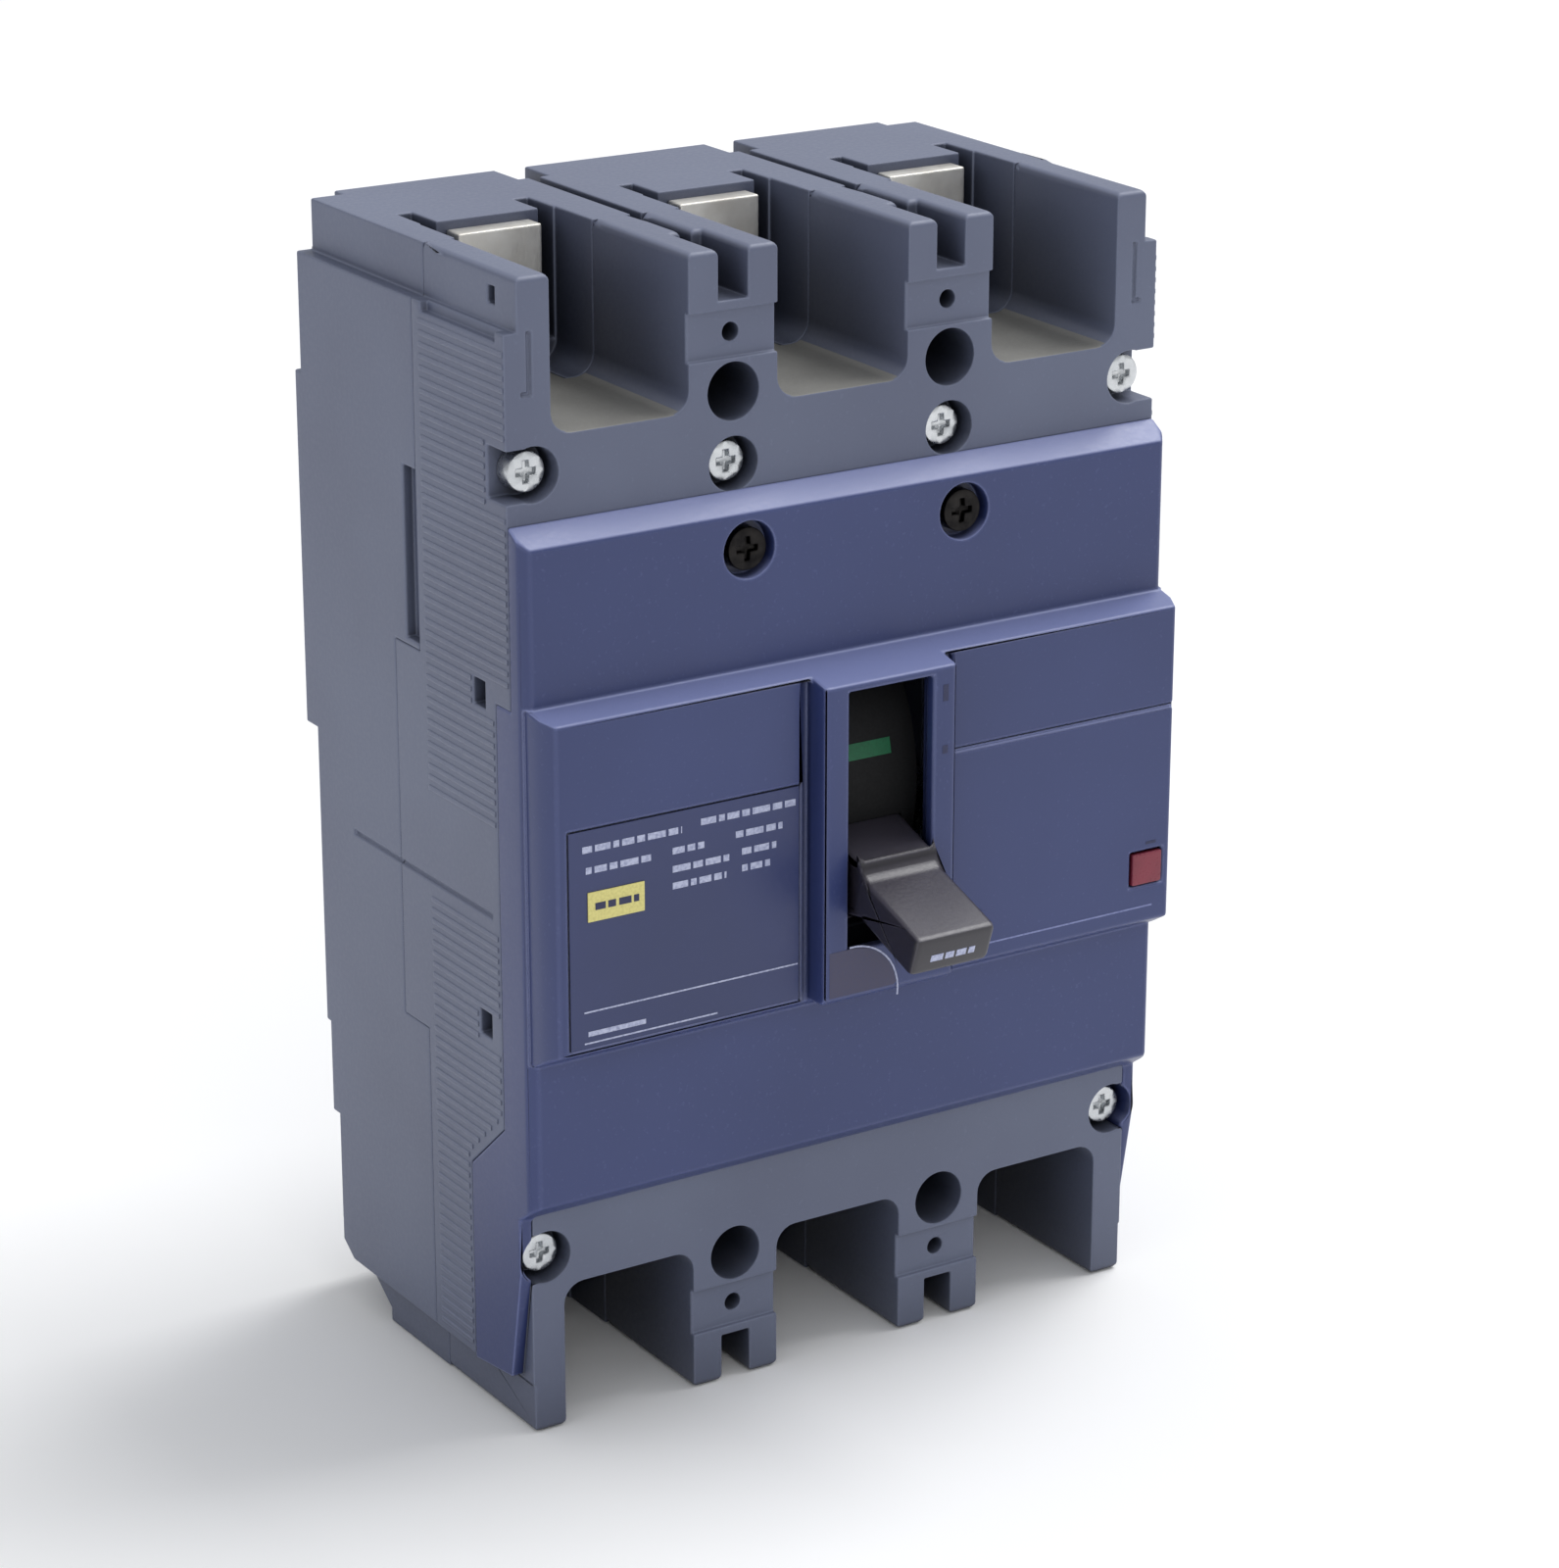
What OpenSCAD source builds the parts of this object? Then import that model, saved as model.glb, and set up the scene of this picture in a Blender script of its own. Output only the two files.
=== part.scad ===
// Three-pole molded case breaker.
// Origin: centre of the rear mounting plane. +X right, +Z up, the front faces -Y.
// A "depth" below is measured forward from the mounting plane, so y = -depth.

/* [Case] */
// Distance from one pole to the next; the case is three of these wide
pole_pitch = 35; // [34:1:42]
// Height of the case
body_h = 165; // [156:1:200]
// Depth from the mounting plane to the front of the grey cover
body_d = 60; // [60:1:72]
// Depth of the base, where the cover meets it
base_d = 35; // [33:1:38]
// Depth at which the cover's side skirts end in the middle of the case
waist_d = 28; // [27:1:30]
// Lower end of the skirts
waist_z0 = -29.5; // [-32:0.5:-27]
// Upper end of the skirts
waist_z1 = 26; // [24:0.5:30]
// Thickness of the side walls and of the walls between poles
wall_t = 3.5; // [3:0.1:4]
// Thickness of the base's floor
floor_t = 4; // [3.5:0.1:4.2]
// Thickness of the cover's front wall
front_t = 3; // [2.5:0.1:3.5]
// Height of the inset band at each end of the case
shelf_h = 7.3; // [6:0.1:8]
// How far that band stands in from the sides
shelf_in = 2; // [1:0.1:2.5]

/* [Terminals] */
// Width of a terminal pocket
pocket_w = 21; // [20:0.5:23]
// Depth of a pocket from the end of the case
pocket_h = 21.5; // [20:0.5:24]
// Corner radius at the floor of a pocket
pocket_r = 3; // [1:0.5:4]
// Thickness of the wall between a pocket and the inside
end_wall_t = 3; // [2.5:0.1:3.5]
// Depth of the seat behind each terminal
block_d = 25; // [24:0.5:26]
// Thickness of the copper bars
bar_t = 3.5; // [3:0.1:4.2]
// Width of a terminal pad
pad_w = 13; // [12.5:0.5:18]
// Width of the bars inside the case
bar_w = 12; // [10:0.5:12]
// Hole through a terminal pad
pad_hole_d = 8.6; // [8.2:0.1:9]
// Width across the flats of a terminal nut
nut_af = 13; // [12:0.5:14]
// Thickness of a terminal nut
nut_t = 6.5; // [5:0.5:7]
// Thread core of a terminal nut
nut_core_d = 6.8; // [6.6:0.1:7]

/* [Fixings] */
// Vertical distance between the panel fixing holes
fix_pitch_z = 126; // [120:1:132]
// Panel fixing hole
fix_hole_d = 4.5; // [4.3:0.1:5.5]
// Counterbore above a panel fixing hole
fix_bore_d = 8; // [7.5:0.1:9]
// Thickness of the case under a panel fixing screw
fix_seat_t = 10; // [6:1:20]
// Cover screw head
cover_head_d = 5.6; // [5:0.1:6]
// Recess around a cover screw head
cover_recess_d = 7.6; // [7:0.1:8]
// Shank of a cover screw
cover_shank_d = 3.5; // [3:0.1:3.6]
// Length of a cover screw under its head
cover_shank_l = 34; // [30:1:40]
// Shank of a front cover screw
front_shank_d = 3; // [2.5:0.1:3]
// Width of the slot for a phase barrier
barrier_t = 1.6; // [1:0.1:2]

/* [Front cover] */
// Top edge of the front cover's face
front_top = 47.1; // [46:0.1:48]
// Bottom edge of the front cover's face
front_bottom = -46.6; // [-47:0.1:-46]
// Thickness by which the front cover stands proud
front_rise = 4; // [3.5:0.1:4.5]
// Further rise of the raised panel
panel_rise = 5; // [4:0.1:5.5]
// Further rise of the surround of the toggle
surround_rise = 3.5; // [3:0.1:4]
// Top edge of the raised panel
panel_top = 24.2; // [24:0.1:26]
// Bottom edge of the raised panel
panel_bottom = -22.8; // [-24:0.1:-22]
// Half width of the surround of the toggle
surround_half = 10.8; // [10.6:0.1:12]
// Skin thickness of the front cover
skin_t = 2; // [1.6:0.1:2.2]
// Width of the toggle's slot
slot_w = 13.8; // [13.6:0.1:15]
// Upper end of the toggle's slot
slot_top = 22.3; // [22:0.1:22.5]
// Lower end of the toggle's slot
slot_bottom = -15.2; // [-17:0.1:-15.2]

/* [Toggle] */
// Height of the toggle's pivot
toggle_z = 5; // [4.5:0.1:5.5]
// Distance of the toggle's pivot behind the front of the grey cover
toggle_back = 20; // [19.5:0.1:20.5]
// Angle of the toggle below the level when off
toggle_off = 19; // [18:0.5:20]
// Distance from the pivot to the toggle's tip
toggle_reach = 50.6; // [46:0.1:54]
// Width of the toggle's tip
toggle_w = 13; // [11:0.1:13.2]
// Thickness of the toggle's tip
toggle_t = 6.2; // [5:0.1:7]
// Inner radius of the shutter that closes the slot
shutter_r = 25; // [24.5:0.1:25.2]

/* [Contacts] */
// Height of the crossbar's axis
crossbar_z = -6; // [-7:0.5:-5]
// Radius of the crossbar
crossbar_r = 7; // [5.8:0.1:7]
// Angle through which the contact arms open
open_angle = 28; // [24:1:28]
// Length of a contact arm from the crossbar's axis
arm_l = 41; // [38:0.5:42]
// Width of a contact arm
arm_w = 5; // [4:0.5:5]
// Thickness of a contact arm
arm_t = 6; // [5:0.5:6.5]
// Thickness of a silver contact
tip_t = 2; // [1.5:0.1:2]
// Number of splitter plates in an arc chute
plate_count = 8; // [5:1:8]
// Thickness of a splitter plate
plate_t = 1.2; // [1:0.1:1.4]

/* [Trip unit] */
// Depth of the trip bar's axis
trip_d = 27; // [26:0.5:28]
// Height of the trip bar's axis
trip_z = -33; // [-34:0.5:-33]
// Radius of the trip bar
trip_r = 4; // [3.5:0.1:4]
// Height of the trip button
button_z = -14.6; // [-15:0.1:-14]
// Width of the trip button's face
button_w = 5.2; // [4.4:0.1:5.4]
// Height of the trip button's face
button_h = 4.8; // [4:0.1:5.5]

/* [Clearances] */
// Gap around a loose fit
gap = 0.25; // [0.2:0.05:0.4]
// Radial gap of a turning fit
turn_gap = 0.06; // [0.04:0.01:0.1]

/* [Hidden] */
$fn = 48;

case_grey = "#6d7183";
cover_blue = "#46507a";
dark_plastic = "#4b494f";
steel = "silver";
copper = "#b87348";
brass_yellow = "#d8d28a";
big = 1;

half_w = 1.5 * pole_pitch;
half_h = body_h / 2;
shelf_z = half_h - shelf_h;
pocket_z = half_h - pocket_h;
wall_z = pocket_z - end_wall_t;
cavity_w = pole_pitch - wall_t;
rib_w = pole_pitch - pocket_w;
fix_z = fix_pitch_z / 2;

corner_x = half_w - 4.2;
corner_z = wall_z - 2;
small_z = wall_z - 5;
cover_head_t = 3;
head_seat_d = body_d - 2 - cover_head_t;
front_screw_z = front_top - 5.1;
rebate_w = wall_t - 0.3;
face_d = body_d + front_rise;
panel_d = face_d + panel_rise;
surround_d = panel_d + surround_rise;
panel_half = half_w - 1.7;
wing_in = 2;
front_head_d = 6;
front_head_t = 2.2;
front_seat_d = body_d + 1.2;
barrier_mouth = 12;

toggle_d = body_d - toggle_back;
yoke_reach = 21;
yoke_t = 1.2;
yoke_in = cavity_w / 2 - 2.05;
shutter_t = 1.2;
shutter_half = surround_half - skin_t - 0.2;
shutter_angle = 67;
stud_r = 2.5;

crossbar_d = waist_d;
contact_gap = 0.3;
fixed_face_d = crossbar_d - arm_t / 2 - tip_t - contact_gap;
run_front = fixed_face_d - tip_t;
contact_z = crossbar_z + arm_l - 3;
bar_seat = block_d + bar_t;
pad_half = max(pad_w, nut_af + 2 * gap) / 2;
slot_side = pocket_w / 2 - 0.3;
pad_side = pad_half + min(1.2, (slot_side - pad_half) / 2);
neck_z = wall_z - bar_t;
load_run_d = floor_t + 4.4;
load_run_z = -36;

plate_in = 12.1;
plate_thick = 1.2;
foot_x = plate_in - 1.95;
foot_shank_r = 1.2;
crank_l = 11;
crank_angle = 6;
pin_r = 1.5;
link_t = 1.2;
lower_in = 3.2;
upper_in = 4.7;
cradle_in = 6.5;
cradle_shaft_d = floor_t + 5;
cradle_shaft_z = 26;
nose_z = -21;
cradle_pin_d = 17;
cradle_pin_z = 20;
upper_l = 12;
lower_l = 13;
spring_x = 9.9;
spring_r = 1.5;
wire_r = 0.35;

// Places of the crank pin and the knee when the contacts are open, as [depth, z]
crank_open = crank_angle + open_angle;
crank = [crossbar_d - crank_l * cos(crank_open), crossbar_z + crank_l * sin(crank_open)];
knee_run = norm([cradle_pin_d, cradle_pin_z] - crank);
knee_lean = atan2(cradle_pin_d - crank[0], cradle_pin_z - crank[1]);
knee_bend = acos((upper_l * upper_l + knee_run * knee_run - lower_l * lower_l) / (2 * upper_l * knee_run));
knee_angle = knee_bend + knee_lean;
knee = [cradle_pin_d - upper_l * sin(knee_angle), cradle_pin_z - upper_l * cos(knee_angle)];
bridge_reach = yoke_reach - yoke_t;
bridge = [toggle_d + bridge_reach * cos(toggle_off), toggle_z - bridge_reach * sin(toggle_off)];

chute_half = 11.5;
chute_z0 = crossbar_z + arm_l + 2;
chute_z1 = chute_z0 + 13;
chute_d0 = run_front + 1.5;
chute_d1 = crossbar_d + 22;

button_x = half_w - 5.7;
stem_x = button_x - 0.6;
stem_r = 1.5;
button_stroke = 2.5;
finger_d = trip_d + trip_r + 1.4;
stem_end_d = finger_d + 0.3;
button_flange_d = panel_d - skin_t - 1.3;
armature_d = 23;
armature_z = -44;
armature_t = 1.6;
// The armature stops short of the bar that steps back from the load terminal
armature_low = max(armature_z - 10, -neck_z + 0.5);
magnet_half = 9;

// ---- placing ----

module slab(x0, x1, d0, d1, z0, z1) translate([x0, -d1, z0]) cube([x1 - x0, d1 - d0, z1 - z0]);
module rod_x(d, z, x0, x1, r) translate([x0, -d, z]) rotate([0, 90, 0]) cylinder(h = x1 - x0, r = r);
module rod_d(x, z, d0, d1, r) translate([x, -d0, z]) rotate([90, 0, 0]) cylinder(h = d1 - d0, r = r);
// An outline drawn as [depth, z], running along X
module along_x(x0, x1) translate([x0, 0, 0]) rotate([90, 0, 90])
    linear_extrude(x1 - x0) mirror([1, 0]) children();
// An outline drawn as [x, z], running forward
module forward(d0, d1) translate([0, -d0, 0]) rotate([90, 0, 0]) linear_extrude(d1 - d0) children();
// An outline drawn as [x, depth], running up
module upward(z0, z1) translate([0, 0, z0]) linear_extrude(z1 - z0) mirror([0, 1]) children();
module each_pole() for (n = [-1:1]) translate([n * pole_pitch, 0, 0]) children();
module each_rib() for (s = [-0.5, 0.5]) translate([s * pole_pitch, 0, 0]) children();
module both_ends() for (s = [0, 1]) mirror([0, 0, s]) children();
module both_sides() for (s = [0, 1]) mirror([s, 0, 0]) children();
// Turns pieces drawn upright about an axis along X; a positive angle tips the top forward
module tipped(d, z, angle) translate([0, -d, z]) rotate([angle, 0, 0]) translate([0, d, -z]) children();
// A link plate with round ends and two holes, as [depth, z]
module link_plate(a, b, r, hole_a, hole_b) difference() {
    union() {
        translate(a) circle(r);
        translate(b) circle(r);
        translate(a) rotate(atan2(b[1] - a[1], b[0] - a[0]))
            translate([0, -r]) square([norm(b - a), 2 * r]);
    }
    translate(a) circle(hole_a);
    translate(b) circle(hole_b);
}

// ---- case ----

module case_block(d0, d1) {
    slab(-half_w, half_w, d0, d1, -shelf_z, shelf_z);
    slab(-half_w + shelf_in, half_w - shelf_in, d0, d1, -half_h, half_h);
}

module screw_posts(d0, d1) {
    post_w = d1 > base_d + 2 ? 9.5 : 8.2;
    both_ends() both_sides() slab(half_w - post_w, half_w - 1, d0, d1, corner_z - 5, wall_z + 1);
    each_rib() rod_d(0, small_z, d0, d1, 4.6);
}

module pole_spaces(d0, d1) difference() {
    intersection() {
        each_pole() slab(-cavity_w / 2, cavity_w / 2, d0, d1, -wall_z, wall_z);
        slab(-half_w + wall_t, half_w - wall_t, d0, d1, -wall_z, wall_z);
    }
    screw_posts(d0 - 1, d1 + 1);
}

// A terminal pocket seen from the front, open at its end
module pocket_outline() polygon(concat([[pocket_w / 2, half_h + big], [-pocket_w / 2, half_h + big]],
    [for (a = [180:15:270]) [-pocket_w / 2 + pocket_r * (1 + cos(a)), pocket_z + pocket_r * (1 + sin(a))]],
    [for (a = [270:15:360]) [pocket_w / 2 + pocket_r * (cos(a) - 1), pocket_z + pocket_r * (1 + sin(a))]]));
module pockets(d0, d1) each_pole() both_ends() forward(d0, d1) pocket_outline();

module cover_screw_places() {
    both_ends() both_sides() translate([corner_x, 0, corner_z]) children();
    each_rib() translate([0, 0, small_z]) children();
}

module barrier_slots(d0, d1) each_rib() both_ends()
    slab(-barrier_t / 2, barrier_t / 2, d0, d1, fix_z + 7, half_h + big);
module fixing_bores(d0, d1, r) each_rib() both_ends() rod_d(0, fix_z, d0, d1, r);

module base_case() color(case_grey) difference() {
    union() {
        difference() {
            case_block(0, base_d);
            pole_spaces(floor_t, base_d + big);
        }
        each_pole() slab(-4, 4, floor_t - 0.01, run_front - bar_t, contact_z - 4, contact_z + 8);
    }
    slab(-half_w - big, half_w + big, waist_d, base_d + big, waist_z0, waist_z1);
    pockets(block_d, base_d + big);
    each_pole() both_ends()
        slab(-bar_w / 2 - gap, bar_w / 2 + gap, block_d, base_d + big, wall_z - big, pocket_z + 1.5);
    each_pole() both_ends() terminal_seat();
    // deep slots beside each pad, open at the end of the case
    each_pole() both_ends() both_sides()
        slab(pad_side, slot_side, block_d - 7, block_d + 0.1, pocket_z + pocket_r, half_h + big);
    fixing_bores(-big, fix_seat_t + big, fix_hole_d / 2);
    fixing_bores(fix_seat_t, base_d + big, fix_bore_d / 2);
    barrier_slots(floor_t, base_d + big);
    each_rib() both_ends() slab(-2.4, 2.4, -big, 7, half_h - 3.5, half_h + big);
    rod_x(crossbar_d, crossbar_z, -half_w + wall_t, half_w - wall_t, crossbar_r + gap + 0.1);
    trip_bar_notches();
    cover_screw_places() rod_d(0, 0, head_seat_d - cover_shank_l - 0.5, base_d + big, cover_shank_d / 2);
    both_sides() for (z = [-18, 18]) rod_d(foot_x, z, 1.2, floor_t + big, foot_shank_r);
    both_sides() rear_rebates();
    along_x(-half_w - big, half_w + big) polygon([[-1, -half_h + 9.5], [6.4, -half_h + 9.5],
        [17.2, -half_h + 2], [17.2, -half_h - 1], [-1, -half_h - 1]]);
    both_sides()
        slab(half_w - 1.6, half_w + big, base_d - 3.6, base_d + big, waist_z1 + 1, waist_z1 + 25.5);
    both_sides() slab(half_w - 0.5, half_w + big, 14, waist_d + big, -7, -6.3);
}

// Room for a nut behind a terminal pad, with a blind bore for the screw's end
module terminal_seat() translate([0, 0, half_h - 11]) {
    translate([0, -block_d + nut_t + gap, 0]) rotate([90, 30, 0])
        cylinder(h = nut_t + gap + 0.1, d = (nut_af + 2 * gap) / cos(30), $fn = 6);
    rod_d(0, 0, 12, block_d, pad_hole_d / 2);
}

module trip_bar_notches() each_rib() {
    rod_x(trip_d, trip_z, -wall_t, wall_t, trip_r + turn_gap);
    slab(-wall_t, wall_t, trip_d, base_d + big, trip_z - trip_r - gap, trip_z + trip_r + gap);
}

// Steps along the rear edge of each side
module rear_rebates() {
    for (step = [[58, half_h, 1.7], [-39, 6, 3.3], [-53, -39, 4.4], [-half_h, -53, 6.4]])
        slab(half_w - rebate_w, half_w + big, -big, step[2],
            step[0], step[1] + (step[1] == half_h ? big : 0));
    slab(half_w - 7, half_w + big, -big, 2.6, shelf_z, half_h + big);
}

module mid_cover() color(case_grey) difference() {
    union() {
        difference() {
            case_block(base_d, body_d);
            pole_spaces(base_d - big, body_d - front_t);
        }
        both_sides() slab(half_w - wall_t, half_w, waist_d, base_d, waist_z0, waist_z1);
        each_rib() slab(-wall_t / 2, wall_t / 2, waist_d, base_d, waist_z0, waist_z1);
        each_pole() both_ends() slab(-bar_w / 2, bar_w / 2, bar_seat + gap, base_d + big, wall_z, pocket_z);
        each_rib() rod_d(0, front_screw_z, base_d + 6, body_d - 1, 3.6);
    }
    pockets(base_d - big, body_d + big);
    each_rib() both_ends() lug_cuts();
    fixing_bores(base_d - big, body_d + big, fix_bore_d / 2);
    barrier_slots(base_d - big, body_d - barrier_mouth + 0.1);
    rod_x(crossbar_d, crossbar_z, -half_w + wall_t, half_w - wall_t, crossbar_r + gap + 0.1);
    each_rib() rod_x(trip_d, trip_z, -wall_t, wall_t, trip_r + gap + 0.1);
    cover_screw_places() rod_d(0, 0, waist_d, body_d + big, cover_shank_d / 2);
    cover_screw_places() rod_d(0, 0, head_seat_d, body_d + big, cover_recess_d / 2);
    both_ends() both_sides() slab(corner_x, half_w + big, head_seat_d, body_d + big,
        corner_z - cover_recess_d / 2 + 0.2, corner_z + cover_recess_d / 2 - 0.2);
    each_rib() rod_d(0, front_screw_z, body_d - 14.5, body_d + big, front_shank_d / 2);
    slab(-yoke_in - 1.9, yoke_in + 1.9, body_d - front_t - big, body_d + big, -17, 27);
    rod_d(stem_x, button_z, body_d - front_t - big, body_d + big, stem_r + gap);
    both_sides() front_wing_seat();
    both_sides() side_details();
}

// Cuts at the front of the ribs between pockets: recessed band, pilot hole and the barrier's wide mouth
module lug_cuts() {
    slab(-rib_w / 2 - big, rib_w / 2 + big, body_d - 0.8, body_d + big, fix_z + 4.6, fix_z + 11.2);
    rod_d(0, fix_z + 8, body_d - 8, body_d + big, 1.25);
    slab(-2.3, 2.3, body_d - barrier_mouth, body_d + big, shelf_z + 0.3, half_h + big);
}

// The cover's flanks are let in where the front cover's side strips and wings lie
module front_wing_seat() {
    slab(half_w - wing_in, half_w + big, body_d - 4, body_d + big, -37.3, panel_top);
    along_x(half_w - wing_in, half_w + big) polygon(wing_outline(0));
    slab(half_w - wing_in + 0.2, half_w + big, body_d - 13.5, body_d + big,
        -half_h - 1, -51.4 - cover_recess_d);
}

function wing_outline(grow) = [[body_d - 4 - grow, -37.3], [body_d - 13.5 - grow, -45.6 + grow],
    [body_d - 13.5 - grow, -half_h + 6.7], [body_d - 3, -half_h + 8], [body_d + 0.02, -50 - cover_recess_d],
    [body_d + 0.02, -37.3]];

module side_details() {
    // groove under the inset band, small lock hole, latch windows and the long groove
    slab(half_w - 1.2, half_w + big, base_d + 2.5, body_d - 2.5, shelf_z - 1.4, shelf_z + 0.1);
    slab(half_w - shelf_in - 2, half_w + big, body_d - 7.6, body_d - 5.8, shelf_z + 2.6, shelf_z + 5);
    for (z = [24.6, -23]) slab(half_w - 2.6, half_w + big, body_d - 10, body_d - 6.8, z - 1.9, z + 1.9);
    slab(half_w - 0.5, half_w + big, waist_d - big, body_d - 6, -7, -6.3);
    // shallow L-shaped groove on the face of the outer wall
    slab(half_w - 4.1, half_w - 3.5, body_d - 0.5, body_d + big, shelf_z - 8, shelf_z);
    slab(half_w - 4.1, half_w - 2.6, body_d - 0.5, body_d + big, shelf_z - 8.6, shelf_z - 8);
}

module front_cover() color(cover_blue) difference() {
    union() {
        front_plate();
        raised_panel();
        surround();
        both_sides() slab(half_w - wing_in, half_w, body_d - 4, body_d + 0.01, -37.3, panel_top);
        both_sides() along_x(half_w - wing_in, half_w) polygon(wing_outline(0));
    }
    difference() {
        union() {
            slab(-half_w + 3, half_w - 3, body_d - big, face_d - skin_t, front_bottom + 2, front_top - 2);
            slab(-panel_half + skin_t, panel_half - skin_t, body_d, panel_d - skin_t,
                panel_bottom + skin_t, panel_top - skin_t);
            slab(-surround_half + skin_t, surround_half - skin_t, body_d, surround_d - skin_t,
                panel_bottom + skin_t, panel_top - 1.6);
        }
        each_rib() rod_d(0, front_screw_z, body_d - 2 * big, face_d, 5.2);
    }
    slab(-slot_w / 2, slot_w / 2, body_d, surround_d + big, slot_bottom, slot_top);
    each_rib() rod_d(0, front_screw_z, body_d - big, face_d + big, front_shank_d / 2 + gap);
    each_rib() rod_d(0, front_screw_z, front_seat_d, face_d + big, 4);
    slab(button_x - button_w / 2 - gap, button_x + button_w / 2 + gap, body_d, panel_d + big,
        button_z - button_h / 2 - gap, button_z + button_h / 2 + gap);
    slab(-panel_half + 1.6, -surround_half - 1.8, label_d, panel_d + big, panel_bottom + 0.6, 9.2);
    both_sides() slab(surround_half, surround_half + 1.6, panel_d - 1.2, panel_d + big,
        panel_bottom - big, panel_top - 0.5);
    both_sides() rod_d(corner_x, -corner_z, head_seat_d, body_d + big, cover_recess_d / 2);
    slab(surround_half + 1.7, half_w + big, panel_d - 0.35, panel_d + big, 9.1, 9.7);
}

label_d = panel_d - 0.4;

module front_plate() intersection() {
    along_x(-half_w, half_w) polygon([[body_d, front_bottom - 2.9], [face_d, front_bottom],
        [face_d, front_top], [body_d, front_top + 2.5]]);
    upward(-half_h, half_h) polygon([[-half_w, body_d], [half_w, body_d], [half_w, body_d + 2.4],
        [half_w - 1.1, face_d], [-half_w + 1.1, face_d], [-half_w, body_d + 2.4]]);
}

module raised_panel() intersection() {
    along_x(-half_w, half_w) polygon([[face_d - 1, panel_bottom - 2.6], [face_d, panel_bottom - 2.6],
        [panel_d, panel_bottom], [panel_d, panel_top],
        [face_d, panel_top + 1], [face_d - 1, panel_top + 1]]);
    upward(-half_h, half_h) polygon([[-half_w + 0.4, face_d - 1], [half_w - 0.4, face_d - 1],
        [half_w - 0.6, face_d + 2.4], [panel_half, panel_d],
        [-panel_half, panel_d], [-half_w + 0.6, face_d + 2.4]]);
}

module surround() intersection() {
    along_x(-surround_half, surround_half) polygon([[panel_d - 2, panel_bottom],
        [surround_d - 1, panel_bottom], [surround_d, panel_bottom + 1],
        [surround_d, panel_top - 0.8], [panel_d, panel_top], [panel_d - 2, panel_top]]);
    upward(-half_h, half_h) polygon([[-surround_half, panel_d - 2], [surround_half, panel_d - 2],
        [surround_half, surround_d - 0.4], [surround_half - 0.4, surround_d],
        [-surround_half + 0.4, surround_d], [-surround_half, surround_d - 0.4]]);
}

module rating_label() color(cover_blue)
    slab(-panel_half + 1.7, -surround_half - 1.9, label_d, panel_d, panel_bottom + 0.7, 9.1);
module rating_badge() color(brass_yellow)
    slab(-half_w + 6.2, -half_w + 15, panel_d, panel_d + 0.2, -3.9, 0.3);

// ---- fixings ----

module screw(head_r, head_t, shank_r, shank_l, recess_r) difference() {
    union() {
        rod_d(0, 0, 0, head_t, head_r);
        rod_d(0, 0, -shank_l, 0.01, shank_r);
    }
    slab(-recess_r, recess_r, head_t - 1.1, head_t + big, -0.45, 0.45);
    slab(-0.45, 0.45, head_t - 1.1, head_t + big, -recess_r, recess_r);
}

module cover_screws() color(steel) cover_screw_places()
    translate([0, -head_seat_d, 0])
        screw(cover_head_d / 2, cover_head_t, cover_shank_d / 2, cover_shank_l, 1.5);
module front_cover_screws() color("#2a2a30") each_rib()
    translate([0, -front_seat_d, front_screw_z])
        screw(front_head_d / 2, front_head_t, front_shank_d / 2, 13, 1.7);

module mechanism_screws() color(steel) both_sides() for (z = [-18, 18])
    translate([foot_x, -floor_t - plate_thick, z])
        screw(1.9, 1.4, foot_shank_r, floor_t + plate_thick - 1.4, 1.1);

// ---- conductors ----

module terminal_pad() difference() {
    slab(-pad_w / 2, pad_w / 2, block_d, bar_seat, pocket_z + 1.2, half_h - 1.3);
    rod_d(0, half_h - 11, block_d - big, bar_seat + big, pad_hole_d / 2);
}

module line_conductor(n) color(copper) translate([n * pole_pitch, 0, 0]) {
    terminal_pad();
    slab(-bar_w / 2, bar_w / 2, block_d, bar_seat, neck_z, pocket_z + 1.3);
    slab(-bar_w / 2, bar_w / 2, run_front - bar_t, bar_seat - 0.01, neck_z, wall_z);
    slab(-bar_w / 2 + 1, bar_w / 2 - 1, run_front - bar_t, run_front, contact_z - 4, neck_z + 0.01);
}

module load_conductor(n) color(copper) translate([n * pole_pitch, 0, 0]) {
    mirror([0, 0, 1]) {
        terminal_pad();
        slab(-bar_w / 2, bar_w / 2, block_d, bar_seat, neck_z, pocket_z + 1.3);
        slab(-bar_w / 2, bar_w / 2, load_run_d, bar_seat - 0.01, neck_z, wall_z);
    }
    slab(-bar_w / 2, bar_w / 2, load_run_d, load_run_d + bar_t, -neck_z - 0.01, load_run_z);
}

module terminal_nuts() color(steel) each_pole() both_ends()
    translate([0, -block_d + nut_t, half_h - 11]) rotate([90, 30, 0]) difference() {
        cylinder(h = nut_t, d = nut_af / cos(30), $fn = 6);
        translate([0, 0, -big]) cylinder(h = nut_t + 2 * big, d = nut_core_d);
    }

module fixed_contacts() color(steel) each_pole()
    slab(-2.6, 2.6, run_front, fixed_face_d, contact_z - 3, contact_z + 3);

// ---- moving contacts ----

module with_arms(n) translate([n * pole_pitch, 0, 0]) tipped(crossbar_d, crossbar_z, open_angle) children();

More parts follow.
